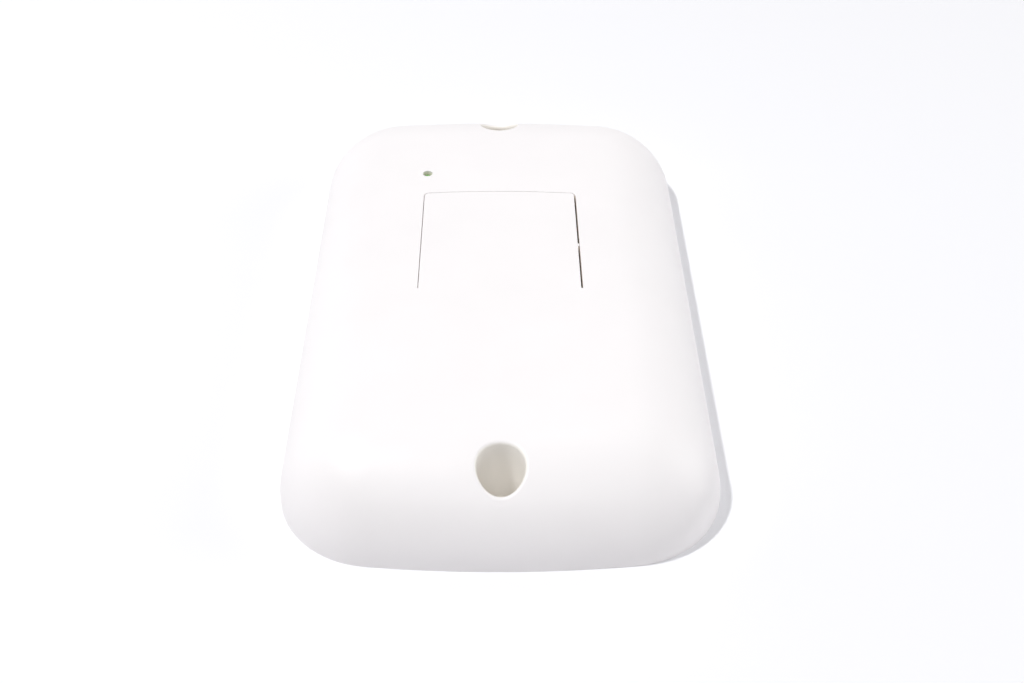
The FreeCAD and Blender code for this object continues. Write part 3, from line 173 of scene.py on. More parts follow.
# %% Finishes
class Finish(Nodes):
    """A material with one Principled shader, whose varying sockets are fed by signals."""

    def __init__(self, name, colour, **constants):
        self.material = bpy.data.materials.new(name)
        self.material.use_nodes = True
        super().__init__(self.material.node_tree)
        self.shader = self.tree.nodes.new("ShaderNodeBsdfPrincipled")
        self.node("ShaderNodeOutputMaterial", {}, {"Surface": Signal(self, self.shader.outputs[0])})
        self.place = self.node("ShaderNodeTexCoord", {}, {}, "Object")
        self.set(base_color=(*colour, 1), **constants)

    def set(self, **values):
        """Feeds the shader's sockets, named in lower case with underscores."""
        for name, value in values.items():
            title = name.replace("_", " ").title().replace("Ior", "IOR")
            self.feed(self.shader.inputs[title], value)

    def axes(self):
        """The three coordinates of a point, in metres."""
        return [self.node("ShaderNodeSeparateXYZ", {}, {0: self.place}, axis) for axis in "XYZ"]

    def size(self, value):
        """How large a value is, without its sign."""
        return self.maths("ABSOLUTE", value)

    def away(self, across, along):
        """The distance from an upright axis, from the two offsets to it."""
        return self.maths("SQRT", across * across + along * along)

    def spread(self, signal, low, high, to_low=0.0, to_high=1.0):
        """Stretches a part of a signal's range over another range."""
        inputs = {"Value": signal, "From Min": low, "From Max": high, "To Min": to_low, "To Max": to_high}
        return self.node("ShaderNodeMapRange", {}, inputs)

    def under(self, signal, limit, soft=0.05 * MM):
        """1 where a signal is under a limit, 0 where it is over it, with a soft edge."""
        return self.spread(signal, limit + soft, limit - soft)

    def noise(self, grain_mm, detail=2.0, roughness=0.5, place=None):
        """Cloudy variation with features of about the given size."""
        inputs = {"Vector": place or self.place, "Scale": 1 / (grain_mm * MM)}
        inputs.update({"Detail": detail, "Roughness": roughness})
        return self.node("ShaderNodeTexNoise", {}, inputs, "Fac")

    def stretched(self, x, y, z):
        """The point with each coordinate divided by a number of its own."""
        scale = (1 / x, 1 / y, 1 / z)
        return self.node("ShaderNodeMapping", {}, {"Vector": self.place, "Scale": scale})

    def blend(self, share, first, second):
        """A colour between two colours."""
        first = first if isinstance(first, Signal) else (*first, 1)
        second = second if isinstance(second, Signal) else (*second, 1)
        return self.node("ShaderNodeMix", {"data_type": "RGBA"}, {0: share, 6: first, 7: second}, 2)

    def bump(self, height, distance_mm):
        """Relief whose highest point stands the given distance proud."""
        return self.node("ShaderNodeBump", {}, {"Height": height, "Distance": distance_mm * MM}, "Normal")


def srgb(red, green, blue):
    """A colour picked on a screen, from 0 to 255, as the linear light that a shader wants."""
    channels = (red / 255, green / 255, blue / 255)
    return tuple(c / 12.92 if c <= 0.04045 else ((c + 0.055) / 1.055) ** 2.4 for c in channels)


def dress(finish, *names):
    """Gives the finish to CAD nodes."""
    for name in names:
        for slot in nodes[name].material_slots:
            slot.material = finish.material
    print(finish.material.name, "on", *names)


# %% [markdown]
# ## White satin plastic
# The cover and the flap are moulded from white plastic in a mould whose walls were eroded by sparks.
# That leaves a grain of about a tenth of a millimetre, too fine to see as relief but enough to turn a
# gloss into a satin. An image of a grain would do, but noise in object coordinates has no seams.
#
# In the photograph the walls of the screw recesses and of the slots look lighter and warmer than plain
# white walls would. Light has gone through the plastic and from wall to wall there. Real scattering
# inside the plastic would draw a line where the flap meets the cover, because they are two meshes, so
# those inner walls get painted light instead: a lighter and warmer tone, the warmest on the slots' walls.

# %% Moulded plastic
# Painted light: lighter, warmer tones for the walls of the recesses and slots, in place of light scattered
# through the plastic.
RECESS_WALL_PAINTED_LIGHT = (0.99, 0.96, 0.915)
SLOT_WALL_PAINTED_LIGHT = (1.0, 0.93, 0.85)


def moulded_plastic(name, colour, grain_mm, relief_mm, roughness, walls=(), marks=None):
    """Spark-eroded moulded plastic: grain, faint clouds, uneven gloss and, if asked, painted light and grey
    marks.
    """
    finish = Finish(name, colour, ior=1.53)
    clouds = finish.noise(16, 3)
    tone = finish.blend(finish.spread(clouds, 0.3, 0.7), tuple(0.98 * c for c in colour), colour)
    # Painted light: the given walls get a lighter, warmer tone.
    for wall, painted_light_colour in walls:
        tone = finish.blend(wall(finish), tone, painted_light_colour)
    if marks:
        tone = finish.blend(marks(finish), tone, tuple(0.45 * c for c in colour))
    gloss = finish.noise(2.5, 2)
    finish.set(
        base_color=tone,
        roughness=finish.spread(gloss, 0.3, 0.7, roughness - 0.04, roughness + 0.04),
        normal=finish.bump(finish.noise(grain_mm, 2, 0.6), relief_mm),
    )
    return finish


# %% The cover and the flap
RECESS_Y = 48 * MM
RECESS_RADIUS = 3.7 * MM
RECESS_FLOOR = 2.8 * MM
FACE_ROUNDING = 0.3 * MM
WALL_SOFT = 0.2 * MM
BESIDE_FLAP = 1.6 * MM
WINDOW_Y = 12 * MM
WINDOW_HALF_LENGTH = 21 * MM
flap_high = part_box("button_flap")[1]


def in_the_wall(finish, z):
    """1 between the floor of the recesses and the front face."""
    below_face = finish.under(z, cad_high.z - FACE_ROUNDING, WALL_SOFT)
    return below_face * (1 - finish.under(z, RECESS_FLOOR))


def recess_walls(finish):
    """1 on the walls of the two screw recesses, which get painted light."""
    x, y, z = finish.axes()
    from_axis = finish.away(x, finish.size(y) - RECESS_Y)
    return finish.under(from_axis, RECESS_RADIUS + WALL_SOFT, WALL_SOFT / 2) * in_the_wall(finish, z)


def slot_walls(finish):
    """1 on the walls of the slots and of the light's hole, which get painted light."""
    x, y, z = finish.axes()
    beside = finish.under(finish.size(x), flap_high.x + BESIDE_FLAP)
    along = finish.under(finish.size(y - WINDOW_Y), WINDOW_HALF_LENGTH)
    return beside * along * in_the_wall(finish, z)


# The walls of the recesses and slots get painted light.
cover = moulded_plastic("white_cover_plastic", srgb(245, 242, 243), grain_mm=0.12, relief_mm=0.006,
                        roughness=0.48, walls=[(recess_walls, RECESS_WALL_PAINTED_LIGHT), (slot_walls, SLOT_WALL_PAINTED_LIGHT)])
dress(cover, "front_shell", "button_flap")

# %% [markdown]
# ## The back
# The rear cover and the battery cap lie against the wall, so their mould is rougher. The cap turns with
# a coin. Such caps have a dot, and beside them the cover has a filled dot for locked and an open ring
# for unlocked. A laser turns the plastic grey there and takes nothing away, so the marks are a change
# of tone and belong to the finish.

# %% The rear cover and the battery cap
cell_low, cell_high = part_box("coin_cell_can")
CAP_Y = (cell_low.y + cell_high.y) / 2
MARK_RADIUS = 0.7 * MM
RING_HALF_WIDTH = 0.15 * MM
COVER_MARKS_AWAY = 14.9 * MM
CAP_MARK_AWAY = 10.6 * MM
CAP_TURN = math.radians(45)


def dot(finish, distance, turn):
    """The distance of a point from a mark, whose place is given round the cap."""
    x, y, _ = finish.axes()
    return finish.away(x - distance * math.sin(turn), y - (CAP_Y + distance * math.cos(turn)))


def cover_marks(finish):
    """1 on the dot for locked and on the ring for unlocked."""
    locked = finish.under(dot(finish, COVER_MARKS_AWAY, 0), MARK_RADIUS)
    ring = finish.size(dot(finish, COVER_MARKS_AWAY, CAP_TURN) - MARK_RADIUS)
    return finish.maths("MAXIMUM", locked, finish.under(ring, RING_HALF_WIDTH))


def cap_mark(finish):
    """1 on the cap's dot."""
    return finish.under(dot(finish, CAP_MARK_AWAY, 0), MARK_RADIUS)


back = srgb(238, 236, 233)
for name, marks, node in (("white_back_plastic", cover_marks, "rear_cover"),
                          ("white_cap_plastic", cap_mark, "battery_cap")):
    dress(moulded_plastic(name, back, grain_mm=0.3, relief_mm=0.02, roughness=0.6, marks=marks), node)

# %% [markdown]
# ## Black plastic and gaskets
# The battery holder is nylon filled with glass, the switch is a harder plastic, and the gasket of the
# coin cell is soft and dull. They differ in gloss and in the size of the grain, so one recipe with three
# numbers makes them all.


# %% Dark mouldings
def dark_moulding(name, colour, grain_mm, relief_mm, roughness):
    """Dark plastic with a grain, a faint bloom and uneven gloss."""
    finish = Finish(name, colour, ior=1.5)
    bloom = finish.spread(finish.noise(1.8, 3), 0.35, 0.75)
    finish.set(
        base_color=finish.blend(bloom, colour, tuple(1.5 * c + 0.004 for c in colour)),
        roughness=finish.spread(finish.noise(0.9), 0.3, 0.7, roughness - 0.06, roughness + 0.08),
        normal=finish.bump(finish.noise(grain_mm, 3, 0.6), relief_mm),
    )
    return finish


dress(dark_moulding("holder_nylon", (0.026, 0.026, 0.027), grain_mm=0.18, relief_mm=0.012, roughness=0.5),
      "battery_holder")
dress(dark_moulding("switch_plastic", (0.03, 0.03, 0.031), grain_mm=0.08, relief_mm=0.003, roughness=0.34),
      "switch_body", "switch_plunger")
dress(dark_moulding("cell_gasket_plastic", (0.05, 0.052, 0.058), grain_mm=0.1, relief_mm=0.004,
                    roughness=0.62), "coin_cell_gasket")

# %% [markdown]
# ## Zinc-plated screws
# The screws cut their own thread in the plastic. In a mesh a thread costs thousands of faces for a
# thing that a boss hides, so it is relief in the finish: the height of a point over the seat plus its
# turn round the axis, folded into a ridge. The four corners share one finish, because the absolute value
# of the coordinates folds them onto one corner. The product of their signs keeps every thread
# right-handed.

# %% Screws
PITCH = 1.0 * MM
HEAD_RADIUS = 2.0 * MM
HEAD_HEIGHT = 1.2 * MM
SHANK_RADIUS = 1.1 * MM
THREAD_DEPTH_MM = 0.22


def zinc_screws(name):
    """Plated steel with a thread on the shanks of a node's screws."""
    low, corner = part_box(name)
    seat = low.z + HEAD_HEIGHT
    finish = Finish(name + "_zinc", srgb(188, 190, 196), metallic=1.0)
    x, y, z = finish.axes()
    across = finish.size(x) - (corner.x - HEAD_RADIUS)
    along = finish.size(y) - (corner.y - HEAD_RADIUS)
    hand = finish.maths("SIGN", x) * finish.maths("SIGN", y)
    turn = finish.maths("ARCTAN2", along, across) * hand * (1 / math.tau)
    ridge = finish.maths("PINGPONG", z * (1 / PITCH) + turn, 0.5) * 2
    shank = finish.under(finish.away(across, along), SHANK_RADIUS + 0.1 * MM) * (1 - finish.under(z, seat))
    frost = finish.noise(0.35, 4, 0.65)
    finish.set(
        base_color=finish.blend(finish.spread(frost, 0.35, 0.7), srgb(172, 175, 184), srgb(206, 206, 203)),
        roughness=finish.spread(frost, 0.3, 0.7, 0.26, 0.42),
        normal=finish.bump(ridge * shank * THREAD_DEPTH_MM + frost * 0.008, 1.0),
    )
    return finish


for screws in ("cover_screws", "board_screws"):
    dress(zinc_screws(screws), screws)

# %% [markdown]
# ## Sheet metal
# The contacts, the switch's cover plate and dome and the crystal's can are stamped from rolled sheet.
# Rolling leaves streaks in one direction, so the point is stretched along it before the noise. The
# streaks drive the roughness and a relief of a few thousandths of a millimetre.


# %% Rolled sheet
def rolled_sheet(name, colour, roughness):
    """Rolled metal sheet with fine streaks along X and faint cloudy staining."""
    finish = Finish(name, colour, metallic=1.0)
    streaks = finish.noise(1, 3, 0.6, finish.stretched(6, 0.06, 0.06))
    stains = finish.spread(finish.noise(1.4, 3), 0.4, 0.75)
    stained = tuple(share * channel for share, channel in zip((0.86, 0.83, 0.78), colour))
    finish.set(
        base_color=finish.blend(stains, colour, stained),
        roughness=finish.spread(streaks, 0.3, 0.7, roughness - 0.07, roughness + 0.1),
        normal=finish.bump(streaks, 0.004),
    )
    return finish


dress(rolled_sheet("nickel_contact_sheet", srgb(205, 202, 192), roughness=0.27),
      "battery_contact_positive", "battery_contact_negative")
dress(rolled_sheet("stainless_sheet", srgb(196, 196, 197), roughness=0.32),
      "switch_cover_plate", "switch_dome")
dress(rolled_sheet("crystal_can_sheet", srgb(206, 204, 198), roughness=0.22), "crystal_can")

# %% [markdown]
# ## The dome under the plunger
# Under the plunger of the push switch lies a thin domed disc that snaps down and pushes back. The
# engineering model holds it stiff, and a copy of its mesh stands in for it here, riding on the housing.
# An armature could bend it, but nothing here flattens it as the plunger comes down.

dome = bpy.data.objects.new("dome_disc", nodes["switch_dome"].data.copy())
bpy.context.scene.collection.objects.link(dome)
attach(dome, "housing")
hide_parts("switch_dome")
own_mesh(dome)

# %% [markdown]
# ## The coin cell
# Both halves of the cell are drawn from nickel-plated steel and polished on a turning disc, so their
# streaks are rings round the cell's axis: a noise that depends on nothing but the distance from it. The
# can is the positive side and has a plus sign etched dull on its face.

# %% Turned steel
PLUS_Y = CAP_Y + 5.4 * MM
PLUS_ARM = 1.9 * MM
PLUS_HALF_WIDTH = 0.35 * MM
RING_SPACING = 0.12 * MM


def plus_sign(finish):
    """1 inside a plus sign on the can's flat face."""
    x, y, z = finish.axes()
    x, y = finish.size(x), finish.size(y - PLUS_Y)
    flat = finish.under(x, PLUS_ARM) * finish.under(y, PLUS_HALF_WIDTH)
    upright = finish.under(y, PLUS_ARM) * finish.under(x, PLUS_HALF_WIDTH)
    face = finish.under(z, cell_low.z + 0.1 * MM)
    return finish.maths("MAXIMUM", flat, upright) * face


def turned_steel(name, roughness, etched=None):
    """Nickel-plated steel with rings of polish and, if asked, an etched sign."""
    colour = srgb(209, 208, 203)
    finish = Finish(name, colour, metallic=1.0)
    x, y, _ = finish.axes()
    inputs = {"W": finish.away(x, y - CAP_Y), "Scale": 1 / RING_SPACING, "Detail": 3.0}
    rings = finish.node("ShaderNodeTexNoise", {"noise_dimensions": "1D"}, inputs, "Fac")
    prints = finish.spread(finish.noise(2.2, 3), 0.45, 0.75)
    tone = finish.blend(prints, colour, srgb(196, 192, 183))
    gloss = finish.spread(rings, 0.3, 0.7, roughness - 0.05, roughness + 0.08) + prints * 0.06
    if etched:
        sign = etched(finish)
        tone = finish.blend(sign, tone, srgb(120, 119, 116))
        gloss = gloss + sign * 0.35
    finish.set(base_color=tone, roughness=gloss, normal=finish.bump(rings, 0.004))
    return finish


dress(turned_steel("cell_can_steel", roughness=0.24, etched=plus_sign), "coin_cell_can")
dress(turned_steel("cell_cap_steel", roughness=0.34), "coin_cell_cap")

# %% [markdown]
# ## Tin, solder, copper and the cell's filling
# Tin plating is even and soft in gloss, and solder is brighter with a skin like orange peel. The bare
# copper of the antenna darkens in clouds. The filling of the cell is pressed powder, dull and granular.


# %% Tin and solder
def tinned(name, roughness, peel_mm):
    """Tinned metal with a cloudy gloss and a skin like orange peel."""
    finish = Finish(name, srgb(214, 214, 212), metallic=1.0)
    clouds = finish.noise(0.5, 3)
    finish.set(
        base_color=finish.blend(finish.spread(clouds, 0.35, 0.7), srgb(221, 221, 219), srgb(190, 189, 184)),
        roughness=finish.spread(clouds, 0.3, 0.7, roughness - 0.08, roughness + 0.1),
        normal=finish.bump(finish.noise(0.16, 2), peel_mm),
    )
    return finish


dress(tinned("plated_tin", roughness=0.36, peel_mm=0.004), "switch_terminals", "led_leads",
      "controller_chip_pins", "radio_chip_pins", "chip_end_caps", "tantalum_terminals")
dress(tinned("solder", roughness=0.24, peel_mm=0.012), "solder_joints")


# %% Copper and powder
def bare_copper():
    """Etched copper, darker where air has reached it."""
    fresh, aged = srgb(216, 140, 102), srgb(168, 96, 64)
    finish = Finish("antenna_copper", fresh, metallic=1.0)
    tarnish = finish.noise(1.6, 4, 0.6)
    finish.set(
        base_color=finish.blend(finish.spread(tarnish, 0.38, 0.7), fresh, aged),
        roughness=finish.spread(tarnish, 0.3, 0.7, 0.26, 0.46),
        normal=finish.bump(finish.noise(0.09, 3), 0.004),
    )
    return finish


def pressed_powder():
    """Pressed powder, as in a cell's electrodes."""
    colour = (0.035, 0.034, 0.033)
    finish = Finish("electrode_powder", colour)
    grit = finish.noise(0.08, 4, 0.7)
    finish.set(
        base_color=finish.blend(finish.spread(grit, 0.35, 0.7), colour, (0.09, 0.088, 0.085)),
        roughness=finish.spread(grit, 0.3, 0.7, 0.82, 0.95),
        normal=finish.bump(grit, 0.03),
    )
    return finish


dress(bare_copper(), "antenna_trace")
dress(pressed_powder(), "coin_cell_electrodes")

# %% [markdown]
# ## The light
# The light is a small green lens of cast resin that stands just under the cover's face. It is off, so
# its colour comes from the dyed resin, and its gloss carries the pale room.


# %% The light
LENS_DEPTH = 1.2 * MM


def dyed_resin():
    """Green cast resin, deeper towards its foot, with small flow marks."""
    pale, deep = srgb(108, 166, 76), srgb(62, 128, 44)
    finish = Finish("light_resin", pale, ior=1.52, coat_roughness=0.05)
    _, _, z = finish.axes()
    low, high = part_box("status_led")
    swirl = finish.noise(0.5, 2) * 0.4
    depth = finish.spread(z, high.z, high.z - LENS_DEPTH)
    finish.set(
        base_color=finish.blend(depth * 0.8 + swirl * 0.5, pale, deep),
        roughness=finish.spread(swirl, 0.1, 0.3, 0.1, 0.2),
        coat_weight=finish.spread(swirl, 0.1, 0.3, 0.35, 0.25),
        normal=finish.bump(swirl, 0.01),
    )
    print("light from", round(low.z / MM, 2), "to", round(high.z / MM, 2), "mm")
    return finish


dress(dyed_resin(), "status_led")

# %% [markdown]
# ## Parts on the board
# Chips are moulded in black epoxy full of glass beads, which shows as fine speckle, and have a round
# dimple at pin one. Chip resistors are white ceramic with a black coat on top. Capacitors are tan
# ceramic, inductors dark sintered ferrite, and the tantalum capacitor is yellow with a dark band at its
# positive end. Each is one recipe for a speckled solid with a second tone where a mask says so.


# %% Speckled solids
DIMPLE_INSET = 0.75 * MM
DIMPLE_RADIUS = 0.26 * MM
DIMPLE_DEPTH_MM = 0.05
COAT_THICKNESS = 0.06 * MM
BAND_WIDTH = 0.7 * MM


def speckled(name, colour, grain_mm, relief_mm, roughness, mask=None, second=None, dent_mm=0.0):
    """A moulded or fired solid with speckle and, under a mask, a second tone and a dent."""
    finish = Finish(name, colour)
    speckle = finish.noise(grain_mm, 3, 0.7)
    tone = finish.blend(finish.spread(speckle, 0.35, 0.7), tuple(0.85 * c for c in colour), colour)
    height = speckle * relief_mm
    if mask:
        share = mask(finish)
        tone = finish.blend(share, tone, second)
        height = height - share * dent_mm
    finish.set(
        base_color=tone,
        roughness=finish.spread(speckle, 0.3, 0.7, roughness - 0.05, roughness + 0.07),
        normal=finish.bump(height, 1.0),
    )
    return finish


def pin_one(name):
    """A mask with a round dimple in the corner of a chip at its low X and high Y."""
    low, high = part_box(name)

    def dimple(finish):
        x, y, z = finish.axes()
        spot = finish.away(x - (low.x + DIMPLE_INSET), y - (high.y - DIMPLE_INSET))
        below_top = finish.under(z, high.z - 0.05 * MM, 0.02 * MM)
        return finish.under(spot, DIMPLE_RADIUS, 0.04 * MM) * (1 - below_top)

    return dimple


def top_coat(finish):
    """A mask over the top faces of the resistors."""
    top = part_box("chip_resistors")[1].z
    return 1 - finish.under(finish.axes()[2], top - COAT_THICKNESS, 0.02 * MM)


def polarity_band(finish):
    """A mask over the end of the tantalum capacitor that is connected to plus."""
    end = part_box("tantalum_capacitor")[0].x
    return finish.under(finish.axes()[0], end + BAND_WIDTH, 0.04 * MM)


# %% Chips and passives
EPOXY = (0.032, 0.032, 0.034)
DIMPLE = (0.06, 0.06, 0.062)
RESISTOR_COAT = (0.022, 0.022, 0.024)
for chip in ("controller_chip", "radio_chip"):
    dress(speckled(chip + "_epoxy", EPOXY, grain_mm=0.07, relief_mm=0.006, roughness=0.55,
                   mask=pin_one(chip), second=DIMPLE, dent_mm=DIMPLE_DEPTH_MM), chip)
dress(speckled("resistor_ceramic", srgb(228, 226, 220), grain_mm=0.09, relief_mm=0.004, roughness=0.3,
               mask=top_coat, second=RESISTOR_COAT), "chip_resistors")
dress(speckled("capacitor_ceramic", srgb(190, 158, 122), grain_mm=0.08, relief_mm=0.005, roughness=0.38),
      "chip_capacitors")
dress(speckled("inductor_ferrite", srgb(78, 78, 82), grain_mm=0.06, relief_mm=0.01, roughness=0.6),
      "chip_inductors")
dress(speckled("tantalum_epoxy", srgb(222, 172, 52), grain_mm=0.1, relief_mm=0.006, roughness=0.42,
               mask=polarity_band, second=srgb(112, 66, 30)), "tantalum_capacitor")
dress(speckled("crystal_ceramic", srgb(222, 217, 208), grain_mm=0.07, relief_mm=0.004, roughness=0.4),
      "crystal_base")

# %% [markdown]
# ## The circuit board
# A board is glass cloth in resin under a thin green solder mask. The weave shows through as a faint
# check of half a millimetre, and the cut edges show the bare yellowish laminate in layers. The mask and
# the laminate are told apart by height: the faces of the board are at its lowest and highest Z.


# %% Laminate
WEAVE = 0.9 * MM
MASK_THICKNESS = 0.04 * MM


def solder_mask(name, colour, gloss):
    """Green solder mask over woven laminate, with bare laminate on the cut edges."""
    low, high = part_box("circuit_board")
    finish = Finish(name, colour, ior=1.5, coat_roughness=0.12)
    x, y, z = finish.axes()
    warp, weft = [finish.maths("SINE", along * (math.tau / WEAVE)) for along in (x, y)]
    clouds = finish.noise(3.0, 3)
    layers = finish.noise(1, 2, 0.5, finish.stretched(2, 2, 0.12))
    from_middle = finish.size(z - (low.z + high.z) / 2)
    edge = finish.under(from_middle, (high.z - low.z) / 2 - MASK_THICKNESS, 0.02 * MM)
    mask = finish.blend(finish.spread(clouds, 0.3, 0.7), tuple(0.8 * c for c in colour), colour)
    laminate = finish.blend(layers, srgb(176, 168, 108), srgb(208, 200, 150))
    finish.set(
        base_color=finish.blend(edge, mask, laminate),
        roughness=finish.spread(clouds, 0.3, 0.7, gloss - 0.05, gloss + 0.05) + edge * 0.4,
        coat_weight=0.4 - edge * 0.4,
        normal=finish.bump(warp * weft * 0.0025 + finish.noise(0.2) * 0.002, 1.0),
    )
    return finish


dress(solder_mask("board_mask", (0.018, 0.2, 0.066), gloss=0.3), "circuit_board")

# %% [markdown]
# ## Finding the soldered ends
# Every soldered end needs a pad under it. Typing their places again would soon disagree with the
# engineering model, so they are read from it: a node such as the end caps is many separate solids, and
# walking over the edges from corner to corner finds each solid's box.


# %% Islands of a node
def islands(name):
    """The lowest and highest corner of every separate solid in a node."""
    shape = bmesh.new()
    shape.from_mesh(nodes[name].data)
    bmesh.ops.remove_doubles(shape, verts=shape.verts, dist=0.001 * MM)
    left = set(shape.verts)
    boxes = []
    while left:
        front = [left.pop()]
        found = list(front)
        while front:
            corner = front.pop()
            fresh = {edge.other_vert(corner) for edge in corner.link_edges} & left
            left -= fresh
            front += fresh
            found += fresh
        low = Vector([min(vert.co[i] for vert in found) for i in range(3)])
        high = Vector([max(vert.co[i] for vert in found) for i in range(3)])
        boxes.append((low, high))
    shape.free()
    return sorted(boxes, key=lambda box: (round(box[0].x, 6), round(box[0].y, 6)))


ends = [box for name in ("chip_end_caps", "controller_chip_pins", "radio_chip_pins", "tantalum_terminals")
        for box in islands(name)]
bodies = [box for name in ("chip_resistors", "chip_capacitors", "chip_inductors", "controller_chip",
                           "radio_chip", "tantalum_capacitor") for box in islands(name)]
print("soldered ends:", len(ends), "bodies:", len(bodies))

# %% [markdown]
# ## Pads, tracks and vias
# Copper on a board is a few hundredths of a millimetre thick. The pads are tinned, and the tracks run
# under the solder mask from a pad to a via, the plated hole that leads to the other side. A track could
# be painted, but as a low ridge it catches the light as the real one does. Each goes straight out from
# its part and stops at the first length at which its via is clear of everything else.

# %% Plates and ridges
BOARD_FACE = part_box("circuit_board")[1].z
COPPER = 0.02 * MM
FOOT = BOARD_FACE - COPPER
PAD_THICKNESS = 1.5 * COPPER
TRACK_THICKNESS = 1.4 * COPPER
VIA_THICKNESS = 2 * COPPER
CORNER_SHARE = 0.22
VIA_RADIUS = 0.34 * MM
VIA_TOP_RADIUS = 0.3 * MM
VIA_RIM = 0.13 * MM
VIA_SUNK_SHARE = 0.7


def plate(shape, low, high, thickness):
    """Adds a low plate with softened corners between two corners. It starts a little inside the board."""
    centre = Matrix.Translation(((low.x + high.x) / 2, (low.y + high.y) / 2, FOOT + thickness / 2))
    sides = Vector((high.x - low.x, high.y - low.y, thickness))
    made = bmesh.ops.create_cube(shape, size=1, matrix=centre @ Matrix.Diagonal((*sides, 1)))
    edges = dict.fromkeys(edge for vert in made["verts"] for edge in vert.link_edges)
    upright = [edge for edge in edges if abs(edge.verts[0].co.z - edge.verts[1].co.z) > thickness / 2]
    bmesh.ops.bevel(shape, geom=upright, offset=min(sides.x, sides.y) * CORNER_SHARE, segments=3,
                    profile=0.5, affect="EDGES", material=-1)


def via(shape, x, y):
    """Adds a round plate with a sunk middle."""
    centre = Matrix.Translation((x, y, FOOT + VIA_THICKNESS / 2))
    made = bmesh.ops.create_cone(shape, cap_ends=True, segments=20, radius1=VIA_RADIUS,
                                 radius2=VIA_TOP_RADIUS, depth=VIA_THICKNESS, matrix=centre)
    top = max((face for vert in made["verts"] for face in vert.link_faces), key=lambda face: face.normal.z)
    bmesh.ops.inset_region(shape, faces=[top], thickness=VIA_RIM)
    bmesh.ops.translate(shape, verts=top.verts, vec=(0, 0, -VIA_THICKNESS * VIA_SUNK_SHARE))


def in_order(name, shape):
    """Turns a bmesh into a mesh with its corners and faces in order of place.

    Bevels and insets return them in an order that isn't the same in every run.
    """
    corners = sorted(shape.verts, key=lambda vert: tuple(vert.co))
    number = {vert: i for i, vert in enumerate(corners)}
    faces = []
    for face in shape.faces:
        loop = [number[vert] for vert in face.verts]
        first = loop.index(min(loop))
        faces.append(loop[first:] + loop[:first])
    mesh = bpy.data.meshes.new(name)
    mesh.from_pydata([vert.co for vert in corners], [], sorted(faces))
    return mesh


def piece(name, shape, finish, body="housing"):
    """Turns a bmesh into a piece of the scene that rides on a body."""
    bmesh.ops.recalc_face_normals(shape, faces=shape.faces)
    mesh = in_order(name, shape)
    shape.free()
    item = bpy.data.objects.new(name, mesh)
    bpy.context.scene.collection.objects.link(item)
    mesh.materials.append(finish.material)
    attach(item, body)
    print(name, "has", len(mesh.polygons), "faces")


# %% Pads
PAD_MARGIN = Vector((0.13, 0.13, 0)) * MM

pads = bmesh.new()
for low, high in ends:
    plate(pads, low - PAD_MARGIN, high + PAD_MARGIN, PAD_THICKNESS)
piece("board_pads", pads, tinned("pad_tin", roughness=0.3, peel_mm=0.006))

# %% Tracks and vias
TRACK_HALF = 0.13 * MM
TRACK_LENGTHS = [2.2 * MM, 1.5 * MM, 1.0 * MM, 0.7 * MM]
ROOM = 0.12 * MM


def outwards(low, high):
    """The direction along X or Y in which a soldered end lies beyond its part."""
    middle = (low + high) / 2
    body_low, body_high = min(bodies, key=lambda box: ((box[0] + box[1]) / 2 - middle).length)
    beyond = [max(body_low[i] - middle[i], middle[i] - body_high[i]) for i in (0, 1)]
    along = beyond.index(max(beyond))
    out = Vector((0, 0, 0))
    out[along] = 1 if middle[along] > body_high[along] else -1
    return out


def track_corners(start, spot, out):
    """The lowest and highest corner of a track from a soldered end to its via."""
    side = Vector((abs(out.y), abs(out.x), 0)) * TRACK_HALF
    corners = [start - side, start + side, spot - side, spot + side]
    return [Vector([pick(corner[i] for corner in corners) for i in range(3)]) for pick in (min, max)]


def free(box, others):
    """True where a box is clear of all the others, seen from above."""
    low, high = box
    return all(low.x > other_high.x + ROOM or high.x < other_low.x - ROOM
               or low.y > other_high.y + ROOM or high.y < other_low.y - ROOM
               for other_low, other_high in others)


solids = ends + bodies + [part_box(name) for name in ("crystal_base", "antenna_trace", "switch_body")]
via_reach = Vector((VIA_RADIUS, VIA_RADIUS, 0))
tracks = bmesh.new()
vias = []
tracks_laid = []
for low, high in ends:
    out = outwards(low, high)
    start = (low + high) / 2 + out * abs((high - low).dot(out)) / 2
    for length in TRACK_LENGTHS:
        spot = start + out * length
        via_box = (spot - via_reach, spot + via_reach)
        track_box = track_corners(start, spot, out)
        if free(via_box, solids + vias + tracks_laid) and free(track_box, vias + tracks_laid):
            plate(tracks, *track_box, TRACK_THICKNESS)
            via(tracks, spot.x, spot.y)
            vias.append(via_box)
            tracks_laid.append(track_box)
            break
track_mask = solder_mask("track_mask", (0.035, 0.32, 0.11), gloss=0.26)
piece("board_tracks", tracks, track_mask)
print("vias:", len(vias))

# %% [markdown]
# ## Printed outlines
# The white legend of a board shows where each part goes. Here it is an outline round every body, with
# no letters or numbers. A plane with its rim inset and its middle taken away leaves a flat frame, and
# Solidify would give it height, but a film of ink is thin enough to be raised by one extrusion.

# %% Legend
INK = 0.012 * MM
INK_WIDTH = 0.14 * MM
LEGEND_MARGIN = 0.3 * MM
TOUCH = 0.2 * MM


def outline(shape, low, high):
    """Adds a flat frame of ink between two corners."""
    centre = Matrix.Translation(((low.x + high.x) / 2, (low.y + high.y) / 2, BOARD_FACE - INK))
    sides = Matrix.Diagonal(((high.x - low.x) / 2, (high.y - low.y) / 2, 1, 1))
    made = bmesh.ops.create_grid(shape, x_segments=1, y_segments=1, size=1, matrix=centre @ sides)
    middle = made["verts"][0].link_faces[0]
    rim = bmesh.ops.inset_region(shape, faces=[middle], thickness=INK_WIDTH, use_boundary=True,
                                 use_even_offset=True)["faces"]
    bmesh.ops.delete(shape, geom=[middle], context="FACES")
    raised = bmesh.ops.extrude_face_region(shape, geom=rim, use_keep_orig=True)["geom"]
    corners = [item for item in raised if isinstance(item, bmesh.types.BMVert)]
    bmesh.ops.translate(shape, verts=corners, vec=(0, 0, 2 * INK))


